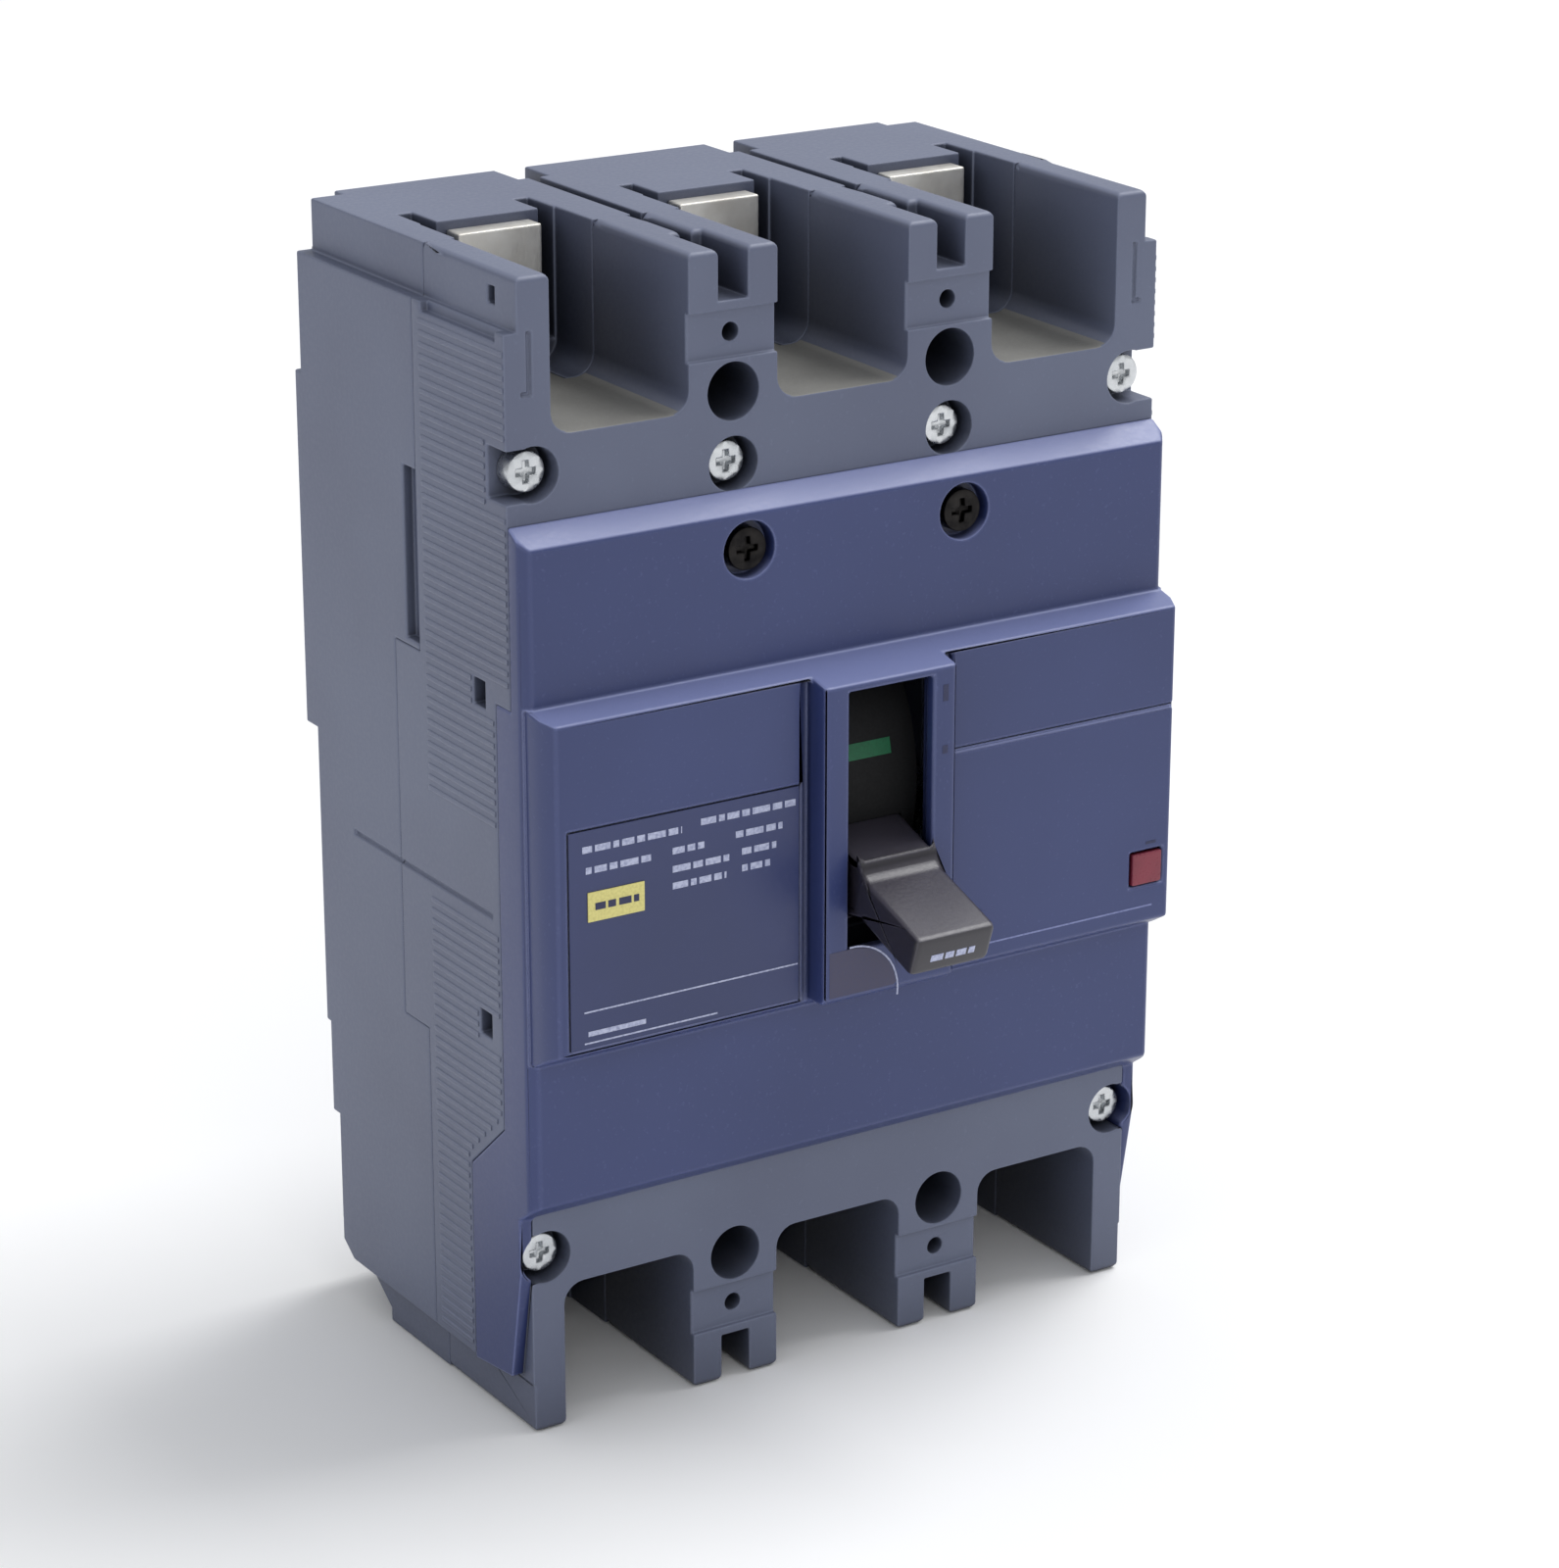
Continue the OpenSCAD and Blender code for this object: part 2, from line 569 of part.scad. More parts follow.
module contact_arm(n) color(copper) with_arms(n)
    slab(-arm_w / 2, arm_w / 2, crossbar_d - arm_t / 2, crossbar_d + arm_t / 2,
        crossbar_z - 9, crossbar_z + arm_l);
module moving_contacts() color(steel) for (n = [-1:1]) with_arms(n)
    slab(-2.4, 2.4, fixed_face_d + contact_gap, crossbar_d - arm_t / 2, contact_z - 3, contact_z + 3);

module crossbar() color("#3b3a3c") difference() {
    union() {
        rod_x(crossbar_d, crossbar_z, -pole_pitch - 7, pole_pitch + 7, crossbar_r);
        both_sides() along_x(upper_in, cradle_in - 0.4)
            link_plate([crossbar_d, crossbar_z], crank, 2.6, 0.5, 0.5);
    }
    for (n = [-1:1]) with_arms(n) slab(-arm_w / 2, arm_w / 2,
        crossbar_d - arm_t / 2, crossbar_d + arm_t / 2, crossbar_z - 10, crossbar_z + 10);
    rod_x(crank[0], crank[1], -10, 10, pin_r);
}

module crossbar_pin() color(steel) rod_x(crank[0], crank[1], -cradle_in + 0.4, cradle_in - 0.4, pin_r);
module lower_links() color(steel) both_sides() along_x(lower_in, lower_in + link_t)
    link_plate(crank, knee, 2.5, pin_r + turn_gap, pin_r + 0.1);

// ---- latch mechanism ----

module upper_links() color(steel) both_sides() along_x(upper_in, upper_in + link_t)
    link_plate([cradle_pin_d, cradle_pin_z], knee, 2.5, pin_r + turn_gap, pin_r);
module knee_pins() color(steel) both_sides() rod_x(knee[0], knee[1], upper_in, spring_x + 1.8, pin_r);

module cradle() color(steel) difference() {
    union() {
        both_sides() along_x(cradle_in, cradle_in + link_t) polygon([[floor_t + 1.6, cradle_shaft_z + 2.5],
            [cradle_shaft_d + 2, cradle_shaft_z + 3.2], [cradle_pin_d + 2.8, cradle_pin_z + 2.5],
            [cradle_pin_d + 2.8, cradle_pin_z - 2.4], [cradle_pin_d - 3, cradle_pin_z - 3],
            [cradle_shaft_d - 1.4, cradle_shaft_z - 14], [cradle_shaft_d - 1.4, nose_z + 2.5],
            [floor_t + 1.6, nose_z + 2.5]]);
        slab(-cradle_in - 0.01, cradle_in + 0.01, floor_t + 1.6, floor_t + 2.8,
            cradle_shaft_z - 8, cradle_shaft_z - 4);
        slab(4.4, cradle_in + link_t, floor_t + 1.6, floor_t + 6.5, nose_z, nose_z + 2.51);
    }
    rod_x(cradle_shaft_d, cradle_shaft_z, -half_w, half_w, 2 + turn_gap);
    rod_x(cradle_pin_d, cradle_pin_z, -half_w, half_w, pin_r);
}
module cradle_pin() color(steel)
    rod_x(cradle_pin_d, cradle_pin_z, -cradle_in - link_t, cradle_in + link_t, pin_r);
module cradle_shaft() color(steel)
    rod_x(cradle_shaft_d, cradle_shaft_z, -plate_in - plate_thick, plate_in + plate_thick, 2);

module mechanism_plate() difference() {
    union() {
        along_x(plate_in, plate_in + plate_thick) polygon([[floor_t, -24], [16, -24], [crossbar_d + 9, -17],
            [toggle_d + 6, toggle_z - 6], [toggle_d + 6, toggle_z + 6], [toggle_d - 6, toggle_z + 10],
            [cradle_pin_d + 6, cradle_shaft_z + 4], [floor_t, cradle_shaft_z + 4]]);
        for (z = [-18, 18])
            slab(plate_in - 4, plate_in + 0.01, floor_t, floor_t + plate_thick, z - 3.5, z + 3.5);
    }
    rod_x(crossbar_d, crossbar_z, plate_in - big, plate_in + 2 * big + plate_thick, crossbar_r + turn_gap);
    rod_x(toggle_d, toggle_z, plate_in - big, plate_in + 2 * big + plate_thick, stud_r + turn_gap);
    rod_x(cradle_shaft_d, cradle_shaft_z, plate_in - big, plate_in + 2 * big + plate_thick, 2);
    for (z = [-18, 18]) rod_d(foot_x, z, floor_t - big, floor_t + 3, foot_shank_r);
}
module mechanism_plate_right() color(steel) mechanism_plate();
module mechanism_plate_left() color(steel) mirror([1, 0, 0]) mechanism_plate();

// ---- toggle, drawn level and then tipped down to off ----

module at_toggle() tipped(toggle_d, toggle_z, toggle_off) children();

module handle_yoke() color(steel) at_toggle() {
    both_sides() {
        slab(yoke_in, yoke_in + yoke_t, toggle_d, toggle_d + yoke_reach, toggle_z - 4, toggle_z + 4);
        rod_x(toggle_d, toggle_z, yoke_in, yoke_in + yoke_t, 4);
        rod_x(toggle_d, toggle_z, plate_in, yoke_in + 0.01, stud_r);
    }
    slab(-yoke_in - yoke_t, yoke_in + yoke_t, toggle_d + bridge_reach, toggle_d + yoke_reach,
        toggle_z - 4, toggle_z + 4);
}

module toggle_handle() color(dark_plastic) at_toggle() {
    neck_d = toggle_d + 34.5;
    slab(-6.3, 6.3, toggle_d + yoke_reach, neck_d, toggle_z - 4.2, toggle_z + 4.2);
    intersection() {
        along_x(-toggle_w / 2, toggle_w / 2) polygon([[neck_d - 0.01, toggle_z - 4],
            [neck_d - 0.01, toggle_z + 4], [neck_d + 2, toggle_z + toggle_t / 2 - 0.2],
            [toggle_d + toggle_reach, toggle_z + toggle_t / 2],
            [toggle_d + toggle_reach, toggle_z - toggle_t / 2],
            [neck_d + 2, toggle_z - toggle_t / 2 + 0.2]]);
        upward(toggle_z - 10, toggle_z + 10) polygon([[-6.3, neck_d - 0.01], [-toggle_w / 2, neck_d + 1.5],
            [-toggle_w / 2, toggle_d + toggle_reach], [toggle_w / 2, toggle_d + toggle_reach],
            [toggle_w / 2, neck_d + 1.5], [6.3, neck_d - 0.01]]);
    }
}

module slot_shutter() color("#1c1c20") at_toggle() difference() {
    intersection() {
        rod_x(toggle_d, toggle_z, -shutter_half, shutter_half, shutter_r + shutter_t);
        along_x(-shutter_half, shutter_half) polygon([[toggle_d, toggle_z],
            for (a = [-shutter_angle, -40, 0, 40, shutter_angle])
                [toggle_d + 50 * cos(a), toggle_z + 50 * sin(a)]]);
    }
    rod_x(toggle_d, toggle_z, -shutter_half - big, shutter_half + big, shutter_r);
    slab(-6.3, 6.3, toggle_d, toggle_d + 40, toggle_z - 4.2, toggle_z + 4.2);
}

// ---- springs ----

// A helix of round wire along +Z, closed at both ends
module coil(r, wire, turns, length) {
    rings = turns * 10;
    sides = 5;
    points = [for (i = [0:rings]) for (k = [0:sides - 1])
        let (a = 36 * i, b = 72 * k, q = r + wire * cos(b))
        [q * cos(a), q * sin(a), wire + (length - 2 * wire) * i / rings + wire * sin(b)]];
    walls = [for (i = [0:rings - 1]) for (k = [0:sides - 1]) let (j = (k + 1) % sides)
        [i * sides + k, (i + 1) * sides + k, (i + 1) * sides + j, i * sides + j]];
    ends = [[for (k = [0:sides - 1]) k], [for (k = [sides - 1:-1:0]) rings * sides + k]];
    polyhedron(points, concat(walls, ends));
}

spring_start = 1.9;
spring_run = bridge - knee;
spring_tilt = atan2(spring_run[0], spring_run[1]);

module main_springs() color(steel) both_sides()
    translate([spring_x, -knee[0], knee[1]]) rotate([spring_tilt, 0, 0]) translate([0, 0, spring_start])
    coil(spring_r, wire_r, 13, norm(spring_run) - spring_start - 0.4);

// ---- trip unit ----

module trip_button() color("#a03040") {
    slab(button_x - button_w / 2, button_x + button_w / 2, button_flange_d, panel_d + 0.3,
        button_z - button_h / 2, button_z + button_h / 2);
    slab(button_x - button_w / 2 - 0.3, panel_half - skin_t - 0.1,
        button_flange_d - 1, button_flange_d + 0.9,
        button_z - button_h / 2 - 1.2, button_z + button_h / 2 + 1.2);
    rod_d(stem_x, button_z, stem_end_d, button_flange_d, stem_r);
}
module trip_button_spring() color(steel) translate([stem_x, -body_d, button_z]) rotate([90, 0, 0])
    coil(stem_r + 0.6, 0.25, 3, button_flange_d - 1 - body_d);

module trip_bar() color("#d9d4c4") {
    rod_x(trip_d, trip_z, -stem_x - 1, stem_x + 1.2, trip_r);
    slab(stem_x - 1.5, stem_x + 1.2, trip_d + 1, finger_d, trip_z, button_z + 3.5);
    each_pole() slab(-4, 4, trip_d - 1.6, trip_d + 0.4, trip_z - 8.5, trip_z);
    along_x(4.6, 6.2) polygon([[trip_d, trip_z + 3], [trip_d - 3, trip_z], [floor_t + 8.3, nose_z - 1.8],
        [floor_t + 8.3, nose_z + 0.4], [floor_t + 9.7, nose_z + 0.4]]);
}

module bimetal(n) color("#c9a86a") translate([n * pole_pitch, 0, 0]) {
    slab(-3.5, 3.5, load_run_d + bar_t, load_run_d + bar_t + 1.7, -neck_z + 0.5, -neck_z + 6.5);
    slab(-4, 4, load_run_d + bar_t + 1.69, load_run_d + bar_t + 2.9, -neck_z + 0.5, trip_z - 3);
    rod_d(0, trip_z - 6, load_run_d + bar_t + 2.89, trip_d - 2.6, 1);
}

module magnet_yoke(n) color("#8d8f94") translate([n * pole_pitch, 0, 0]) difference() {
    union() {
        slab(-magnet_half, magnet_half, floor_t + 2.6, floor_t + 4.4, armature_z - 10, armature_z + 4);
        slab(-5, 5, floor_t, floor_t + 2.61, armature_z - 6, armature_z + 2);
        both_sides() {
            slab(magnet_half - 1.8, magnet_half, floor_t + 4.39, armature_d - 3,
                armature_z - 10, armature_z + 4);
            slab(magnet_half - 1.8, magnet_half, armature_d - 3.01, armature_d + 3,
                armature_z - 2.4, armature_z + 2.4);
        }
    }
    rod_x(armature_d + 0.8, armature_z, -10, 10, 1);
}

module armature(n) color("#8d8f94") translate([n * pole_pitch, 0, 0]) difference() {
    union() {
        slab(-magnet_half + 2.1, magnet_half - 2.1, armature_d, armature_d + armature_t,
            armature_low, armature_z + 5.5);
        slab(-magnet_half, magnet_half, armature_d, armature_d + armature_t,
            armature_low, armature_z - 3.5);
        rod_x(armature_d + 0.8, armature_z, -magnet_half + 2.1, magnet_half - 2.1, 1.9);
    }
    rod_x(armature_d + 0.8, armature_z, -10, 10, 1 + turn_gap);
    slab(-1.8, 1.8, armature_d - 3, armature_d + 3, armature_z + 2.2, armature_z + 6);
}
module armature_pins() color(steel) each_pole()
    rod_x(armature_d + 0.8, armature_z, -magnet_half, magnet_half, 1);

// ---- arc chutes and braids ----

module arc_chute(n) color("#c8c2b0") translate([n * pole_pitch, 0, 0]) {
    both_sides() slab(chute_half - 1, chute_half, chute_d0, chute_d1, chute_z0, chute_z1);
    slab(-chute_half + 0.99, chute_half - 0.99, chute_d0, chute_d1, chute_z1 - 0.8, chute_z1);
    both_sides() slab(5, 7.4, chute_d1 - 6, chute_d1, chute_z1 - 0.01, wall_z);
}

module arc_plates(n) color(steel) translate([n * pole_pitch, 0, 0]) for (i = [0:plate_count - 1]) {
    d = chute_d0 + 1 + i * (chute_d1 - chute_d0 - 2 - plate_t) / (plate_count - 1);
    forward(d, d + plate_t) difference() {
        translate([-chute_half + 1, chute_z0]) square([2 * chute_half - 2, chute_z1 - chute_z0 - 0.8]);
        polygon([[-3.4, chute_z0 - 1], [3.4, chute_z0 - 1], [0.8, chute_z0 + 6], [-0.8, chute_z0 + 6]]);
    }
}

// The braid climbs from the load bar to the tail of the contact arm
module flexible_braid(n) color(copper) translate([n * pole_pitch, 0, 0]) {
    tail_d = crossbar_d - 9 * sin(open_angle) - arm_t / 2 * cos(open_angle) - 0.4;
    tail_z = crossbar_z - 9 * cos(open_angle) + arm_t / 2 * sin(open_angle);
    along_x(-3.5, 3.5) polygon([[load_run_d + 0.4, load_run_z], [load_run_d + 2.4, load_run_z],
        [load_run_d + 2.8, load_run_z + 5], [load_run_d + 5.4, load_run_z + 11.5], [tail_d - 1.4, tail_z - 3],
        [tail_d, tail_z], [tail_d, tail_z + 2.4], [tail_d - 1.6, tail_z + 1.6], [tail_d - 3.2, tail_z - 1.4],
        [load_run_d + 3.4, load_run_z + 12.4], [load_run_d + 0.8, load_run_z + 5.4]]);
}

base_case();
mid_cover();
front_cover();
rating_label();
rating_badge();
cover_screws();
front_cover_screws();
toggle_handle();
handle_yoke();
slot_shutter();
main_springs();
trip_button();
trip_button_spring();
line_conductor(-1);  // line_conductor_1
line_conductor(0);  // line_conductor_2
line_conductor(1);  // line_conductor_3
load_conductor(-1);  // load_conductor_1
load_conductor(0);  // load_conductor_2
load_conductor(1);  // load_conductor_3
terminal_nuts();
fixed_contacts();
contact_arm(-1);  // contact_arm_1
contact_arm(0);  // contact_arm_2
contact_arm(1);  // contact_arm_3
moving_contacts();
crossbar();
crossbar_pin();
lower_links();
upper_links();
knee_pins();
cradle();
cradle_pin();
cradle_shaft();
mechanism_plate_left();
mechanism_plate_right();
mechanism_screws();
trip_bar();
bimetal(-1);  // bimetal_1
bimetal(0);  // bimetal_2
bimetal(1);  // bimetal_3
magnet_yoke(-1);  // magnet_yoke_1
magnet_yoke(0);  // magnet_yoke_2
magnet_yoke(1);  // magnet_yoke_3
armature(-1);  // armature_1
armature(0);  // armature_2
armature(1);  // armature_3
armature_pins();
arc_chute(-1);  // arc_chute_1
arc_chute(0);  // arc_chute_2
arc_chute(1);  // arc_chute_3
arc_plates(-1);  // arc_plates_1
arc_plates(0);  // arc_plates_2
arc_plates(1);  // arc_plates_3
flexible_braid(-1);  // flexible_braid_1
flexible_braid(0);  // flexible_braid_2
flexible_braid(1);  // flexible_braid_3
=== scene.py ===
import math

import bmesh
import bpy
from mathutils import Matrix, Vector


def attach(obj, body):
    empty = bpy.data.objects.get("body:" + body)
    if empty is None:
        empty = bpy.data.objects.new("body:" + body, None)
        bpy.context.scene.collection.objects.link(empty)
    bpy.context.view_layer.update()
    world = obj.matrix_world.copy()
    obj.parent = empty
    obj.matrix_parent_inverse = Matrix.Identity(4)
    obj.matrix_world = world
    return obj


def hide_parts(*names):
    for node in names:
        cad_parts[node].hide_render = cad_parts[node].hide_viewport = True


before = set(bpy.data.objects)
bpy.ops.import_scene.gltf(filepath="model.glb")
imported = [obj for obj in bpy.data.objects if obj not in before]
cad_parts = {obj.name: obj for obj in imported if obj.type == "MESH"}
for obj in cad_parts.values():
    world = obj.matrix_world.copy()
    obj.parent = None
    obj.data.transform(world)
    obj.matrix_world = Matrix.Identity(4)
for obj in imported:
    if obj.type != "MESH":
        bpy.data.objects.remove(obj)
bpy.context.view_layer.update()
print("frame loaded")


# small helpers

def mm(value):
    return value / 1000


def place(x, depth, z):  # a point from the case's own sizes: depth runs forward of the rear face
    return Vector((mm(x), -mm(depth), mm(z)))


def perMm(size):  # a noise scale whose grain is about this many millimetres across
    return 1000 / size


def linearHex(code):
    parts = [int(code[i:i + 2], 16) / 255 for i in (1, 3, 5)]
    return tuple(c / 12.92 if c <= 0.04045 else ((c + 0.055) / 1.055) ** 2.4 for c in parts) + (1.0,)


def addNode(tree, kind, settings=None, links=None):
    node = tree.nodes.new(kind)
    for key, value in (settings or {}).items():
        if isinstance(key, str) and hasattr(node, key):
            setattr(node, key, value)
        else:
            node.inputs[key].default_value = value
    for key, source in (links or {}).items():
        tree.links.new(source, node.inputs[key])
    return node


def startMaterial(name):
    material = bpy.data.materials.new(name)
    material.use_nodes = True
    tree = material.node_tree
    tree.nodes.clear()
    output = addNode(tree, "ShaderNodeOutputMaterial")
    shader = addNode(tree, "ShaderNodeBsdfPrincipled")
    tree.links.new(shader.outputs[0], output.inputs[0])
    coords = addNode(tree, "ShaderNodeTexCoord").outputs["Object"]
    return material, tree, shader, coords


def mixColours(tree, factor, first, second):
    # each colour is either a hex value or the output of another node
    settings, links = {"data_type": "RGBA"}, {0: factor}
    for socket, colour in ((6, first), (7, second)):
        if isinstance(colour, str):
            settings[socket] = linearHex(colour)
        else:
            links[socket] = colour
    return addNode(tree, "ShaderNodeMix", settings, links).outputs[2]


def ramp(tree, source, low, high, start=0.0, end=1.0):
    return addNode(tree, "ShaderNodeMapRange", {"From Min": low, "From Max": high, "To Min": start, "To Max": end},
                   {"Value": source}).outputs[0]


# finishes

def mouldedPlastic(name, look):
    # injection-moulded resin: a satin skin from the spark-eroded tool, corners slightly rounded, with a painted
    # highlight along them
    look = {"hollowMm": 16, "deep": "#07080c", "coat": 0.0, "topLightShare": 0.0, **look}
    material, tree, shader, coords = startMaterial(name)
    broad = addNode(tree, "ShaderNodeTexNoise", {"Scale": perMm(look["cloudMm"]), "Detail": 3.0}, {"Vector": coords})
    fine = addNode(tree, "ShaderNodeTexNoise", {"Scale": perMm(look["grainMm"]), "Detail": 2.0, "Roughness": 0.6},
                   {"Vector": coords})
    corner = addNode(tree, "ShaderNodeBevel", {"samples": 3, "Radius": mm(look["cornerMm"])})
    flat = addNode(tree, "ShaderNodeNewGeometry")
    match = addNode(tree, "ShaderNodeVectorMath", {"operation": "DOT_PRODUCT"},
                    {0: corner.outputs[0], 1: flat.outputs["Normal"]})
    # painted highlight: rounded corners are mixed towards the pale edge colour
    edge = ramp(tree, match.outputs["Value"], 0.998, 0.86, 0.0, look["cornerHighlightShare"])
    cloud = ramp(tree, broad.outputs[0], 0.35, 0.65)
    body = mixColours(tree, cloud, look["colour"], look["shade"])
    speck = ramp(tree, fine.outputs[0], 0.62, 0.74, 0.0, 0.07)
    body = mixColours(tree, speck, body, look["edge"])
    hollow = addNode(tree, "ShaderNodeAmbientOcclusion", {"samples": 3, "Distance": mm(look["hollowMm"])})
    soot = ramp(tree, hollow.outputs["AO"], 0.12, 0.62, 0.88, 0.0)  # painted shade: deep bores and pockets are darkened by how enclosed they are
    upward = addNode(tree, "ShaderNodeSeparateXYZ", links={0: flat.outputs["Normal"]}).outputs[2]
    faded = ramp(tree, upward, 0.4, 0.8, 0.0, look["topLightShare"])  # painted highlight: slopes that face up are painted paler where the top light falls
    body = mixColours(tree, faded, body, look["edge"])
    body = mixColours(tree, soot, body, look["deep"])
    colour = mixColours(tree, edge, body, look["edge"])
    gloss = ramp(tree, fine.outputs[0], 0.3, 0.7, look["rough"] - 0.05, look["rough"] + 0.06)
    bump = addNode(tree, "ShaderNodeBump", {"Strength": look["bump"], "Distance": mm(0.05)},
                   {"Height": fine.outputs[0], "Normal": corner.outputs[0]})
    tree.links.new(colour, shader.inputs["Base Color"])
    tree.links.new(gloss, shader.inputs["Roughness"])
    tree.links.new(bump.outputs[0], shader.inputs["Normal"])
    shader.inputs["IOR"].default_value = look["ior"]
    shader.inputs["Coat Weight"].default_value = look["coat"]  # the polished skin that a smooth tool leaves
    shader.inputs["Coat Roughness"].default_value = 0.2
    return material


def platedMetal(name, look):
    # a metal skin: fine drawing or rolling lines along one axis, with duller clouds from handling
    material, tree, shader, coords = startMaterial(name)
    stretch = addNode(tree, "ShaderNodeMapping", {"Scale": look["stretch"]}, {"Vector": coords})
    lines = addNode(tree, "ShaderNodeTexNoise", {"Scale": perMm(look["lineMm"]), "Detail": 3.0},
                    {"Vector": stretch.outputs[0]})
    clouds = addNode(tree, "ShaderNodeTexNoise", {"Scale": perMm(look["cloudMm"]), "Detail": 4.0}, {"Vector": coords})
    corner = addNode(tree, "ShaderNodeBevel", {"samples": 3, "Radius": mm(look["cornerMm"])})
    tone = ramp(tree, clouds.outputs[0], 0.35, 0.68)
    colour = mixColours(tree, tone, look["colour"], look["shade"])
    gloss = ramp(tree, lines.outputs[0], 0.3, 0.7, look["rough"] - 0.07, look["rough"] + 0.1)
    bump = addNode(tree, "ShaderNodeBump", {"Strength": look["bump"], "Distance": mm(0.03)},
                   {"Height": lines.outputs[0], "Normal": corner.outputs[0]})
    tree.links.new(colour, shader.inputs["Base Color"])
    tree.links.new(gloss, shader.inputs["Roughness"])
    tree.links.new(bump.outputs[0], shader.inputs["Normal"])
    shader.inputs["Metallic"].default_value = 1.0
    return material


def printedInk(name, look):
    # pad-printed ink: matt and a little uneven, so strokes are not perfectly solid
    material, tree, shader, coords = startMaterial(name)
    grain = addNode(tree, "ShaderNodeTexNoise", {"Scale": perMm(0.4), "Detail": 2.0}, {"Vector": coords})
    share = ramp(tree, grain.outputs[0], 0.4, 0.75, 0.0, look["thin"])
    tree.links.new(mixColours(tree, share, look["colour"], look["under"]), shader.inputs["Base Color"])
    shader.inputs["Roughness"].default_value = look["rough"]
    return material


def wovenBraid(name, look):
    # flat braid of bare copper wire: diagonal crossings about 1.2 mm apart, drawn coarser than the real wires
    material, tree, shader, coords = startMaterial(name)
    waves = []
    for turn in (0.7, -0.7):
        turned = addNode(tree, "ShaderNodeMapping", {"Rotation": (turn, 0.0, 0.0)}, {"Vector": coords})
        wave = addNode(tree, "ShaderNodeTexWave", {"bands_direction": "Z", "Scale": perMm(1.2) / 6.28},
                       {"Vector": turned.outputs[0]})
        waves.append(wave.outputs["Fac"])
    weave = addNode(tree, "ShaderNodeMath", {"operation": "MULTIPLY"}, {0: waves[0], 1: waves[1]})
    tree.links.new(mixColours(tree, weave.outputs[0], look["shade"], look["colour"]), shader.inputs["Base Color"])
    bump = addNode(tree, "ShaderNodeBump", {"Strength": 0.6, "Distance": mm(0.2)}, {"Height": weave.outputs[0]})
    tree.links.new(bump.outputs[0], shader.inputs["Normal"])
    shader.inputs["Metallic"].default_value = 1.0
    shader.inputs["Roughness"].default_value = 0.42
    return material


# in each moulding the edge colour is the painted highlight on corners and up-facing slopes, and also the tone of the
# random specks; the hollow shade colour is painted shade
greyPolyester = mouldedPlastic("greyPolyesterMoulding", {
    "colour": "#5e657b", "shade": "#575d73", "edge": "#949bb3", "cornerHighlightShare": 0.65, "cloudMm": 40, "topLightShare": 0.3,
    "hollowMm": 26, "grainMm": 0.7, "cornerMm": 0.35, "rough": 0.46, "bump": 0.22, "ior": 1.52})
bluePolyester = mouldedPlastic("bluePolyesterMoulding", {
    "colour": "#323d6c", "shade": "#2d3865", "edge": "#98a1d2", "cornerHighlightShare": 0.85, "cloudMm": 45,
    "deep": "#141834", "topLightShare": 0.55, "grainMm": 0.6, "cornerMm": 0.45, "rough": 0.34, "bump": 0.18, "ior": 1.5})
darkNylon = mouldedPlastic("darkGreyNylonMoulding", {
    "colour": "#242129", "shade": "#1e1b24", "edge": "#5e5a68", "cornerHighlightShare": 0.6, "cloudMm": 9,
    "coat": 0.15, "topLightShare": 0.3, "grainMm": 0.5, "cornerMm": 0.4, "rough": 0.34, "bump": 0.3, "ior": 1.53})
blackNylon = mouldedPlastic("blackNylonMoulding", {
    "colour": "#08080a", "shade": "#060608", "edge": "#1c1c20", "cornerHighlightShare": 0.3, "cloudMm": 12,
    "grainMm": 0.5, "cornerMm": 0.25, "rough": 0.7, "bump": 0.15, "ior": 1.4})
redAbs = mouldedPlastic("redAbsMoulding", {
    "colour": "#7c2236", "shade": "#6a1b2e", "edge": "#a04a60", "cornerHighlightShare": 0.5, "cloudMm": 6,
    "grainMm": 0.5, "cornerMm": 0.3, "rough": 0.3, "bump": 0.12, "ior": 1.53})
ivoryMelamine = mouldedPlastic("ivoryMelamineMoulding", {
    "colour": "#d8d2c0", "shade": "#cbc4b0", "edge": "#ece8dc", "cornerHighlightShare": 0.4, "cloudMm": 10,
    "grainMm": 0.6, "cornerMm": 0.3, "rough": 0.4, "bump": 0.15, "ior": 1.55})
darkPhenolic = mouldedPlastic("darkPhenolicMoulding", {
    "colour": "#3a322e", "shade": "#2e2825", "edge": "#5b514a", "cornerHighlightShare": 0.4, "cloudMm": 10,
    "grainMm": 0.5, "cornerMm": 0.3, "rough": 0.38, "bump": 0.2, "ior": 1.6})
fibreBoard = mouldedPlastic("vulcanisedFibreSheet", {
    "colour": "#b9a98c", "shade": "#a8987c", "edge": "#cdbfa4", "cornerHighlightShare": 0.3, "cloudMm": 5,
    "grainMm": 0.8, "cornerMm": 0.15, "rough": 0.7, "bump": 0.4, "ior": 1.5})
labelFilm = mouldedPlastic("printedPolyesterLabel", {
    "colour": "#2e3762", "shade": "#2b345c", "edge": "#4c5688", "deep": "#1a2044", "cornerHighlightShare": 0.3, "cloudMm": 30,
    "grainMm": 0.9, "cornerMm": 0.15, "rough": 0.33, "bump": 0.06, "ior": 1.5})
zincPlate = platedMetal("brightZincPlatedSteel", {
    "colour": "#d2d4d6", "shade": "#c0c3c6", "lineMm": 0.9, "cloudMm": 6, "cornerMm": 0.2,
    "stretch": (1.0, 1.0, 1.0), "rough": 0.26, "bump": 0.04})
blackOxide = platedMetal("blackOxideSteel", {
    "colour": "#2f2d2c", "shade": "#1d1c1d", "lineMm": 0.4, "cloudMm": 2, "cornerMm": 0.2,
    "stretch": (1.0, 1.0, 1.0), "rough": 0.35, "bump": 0.2})
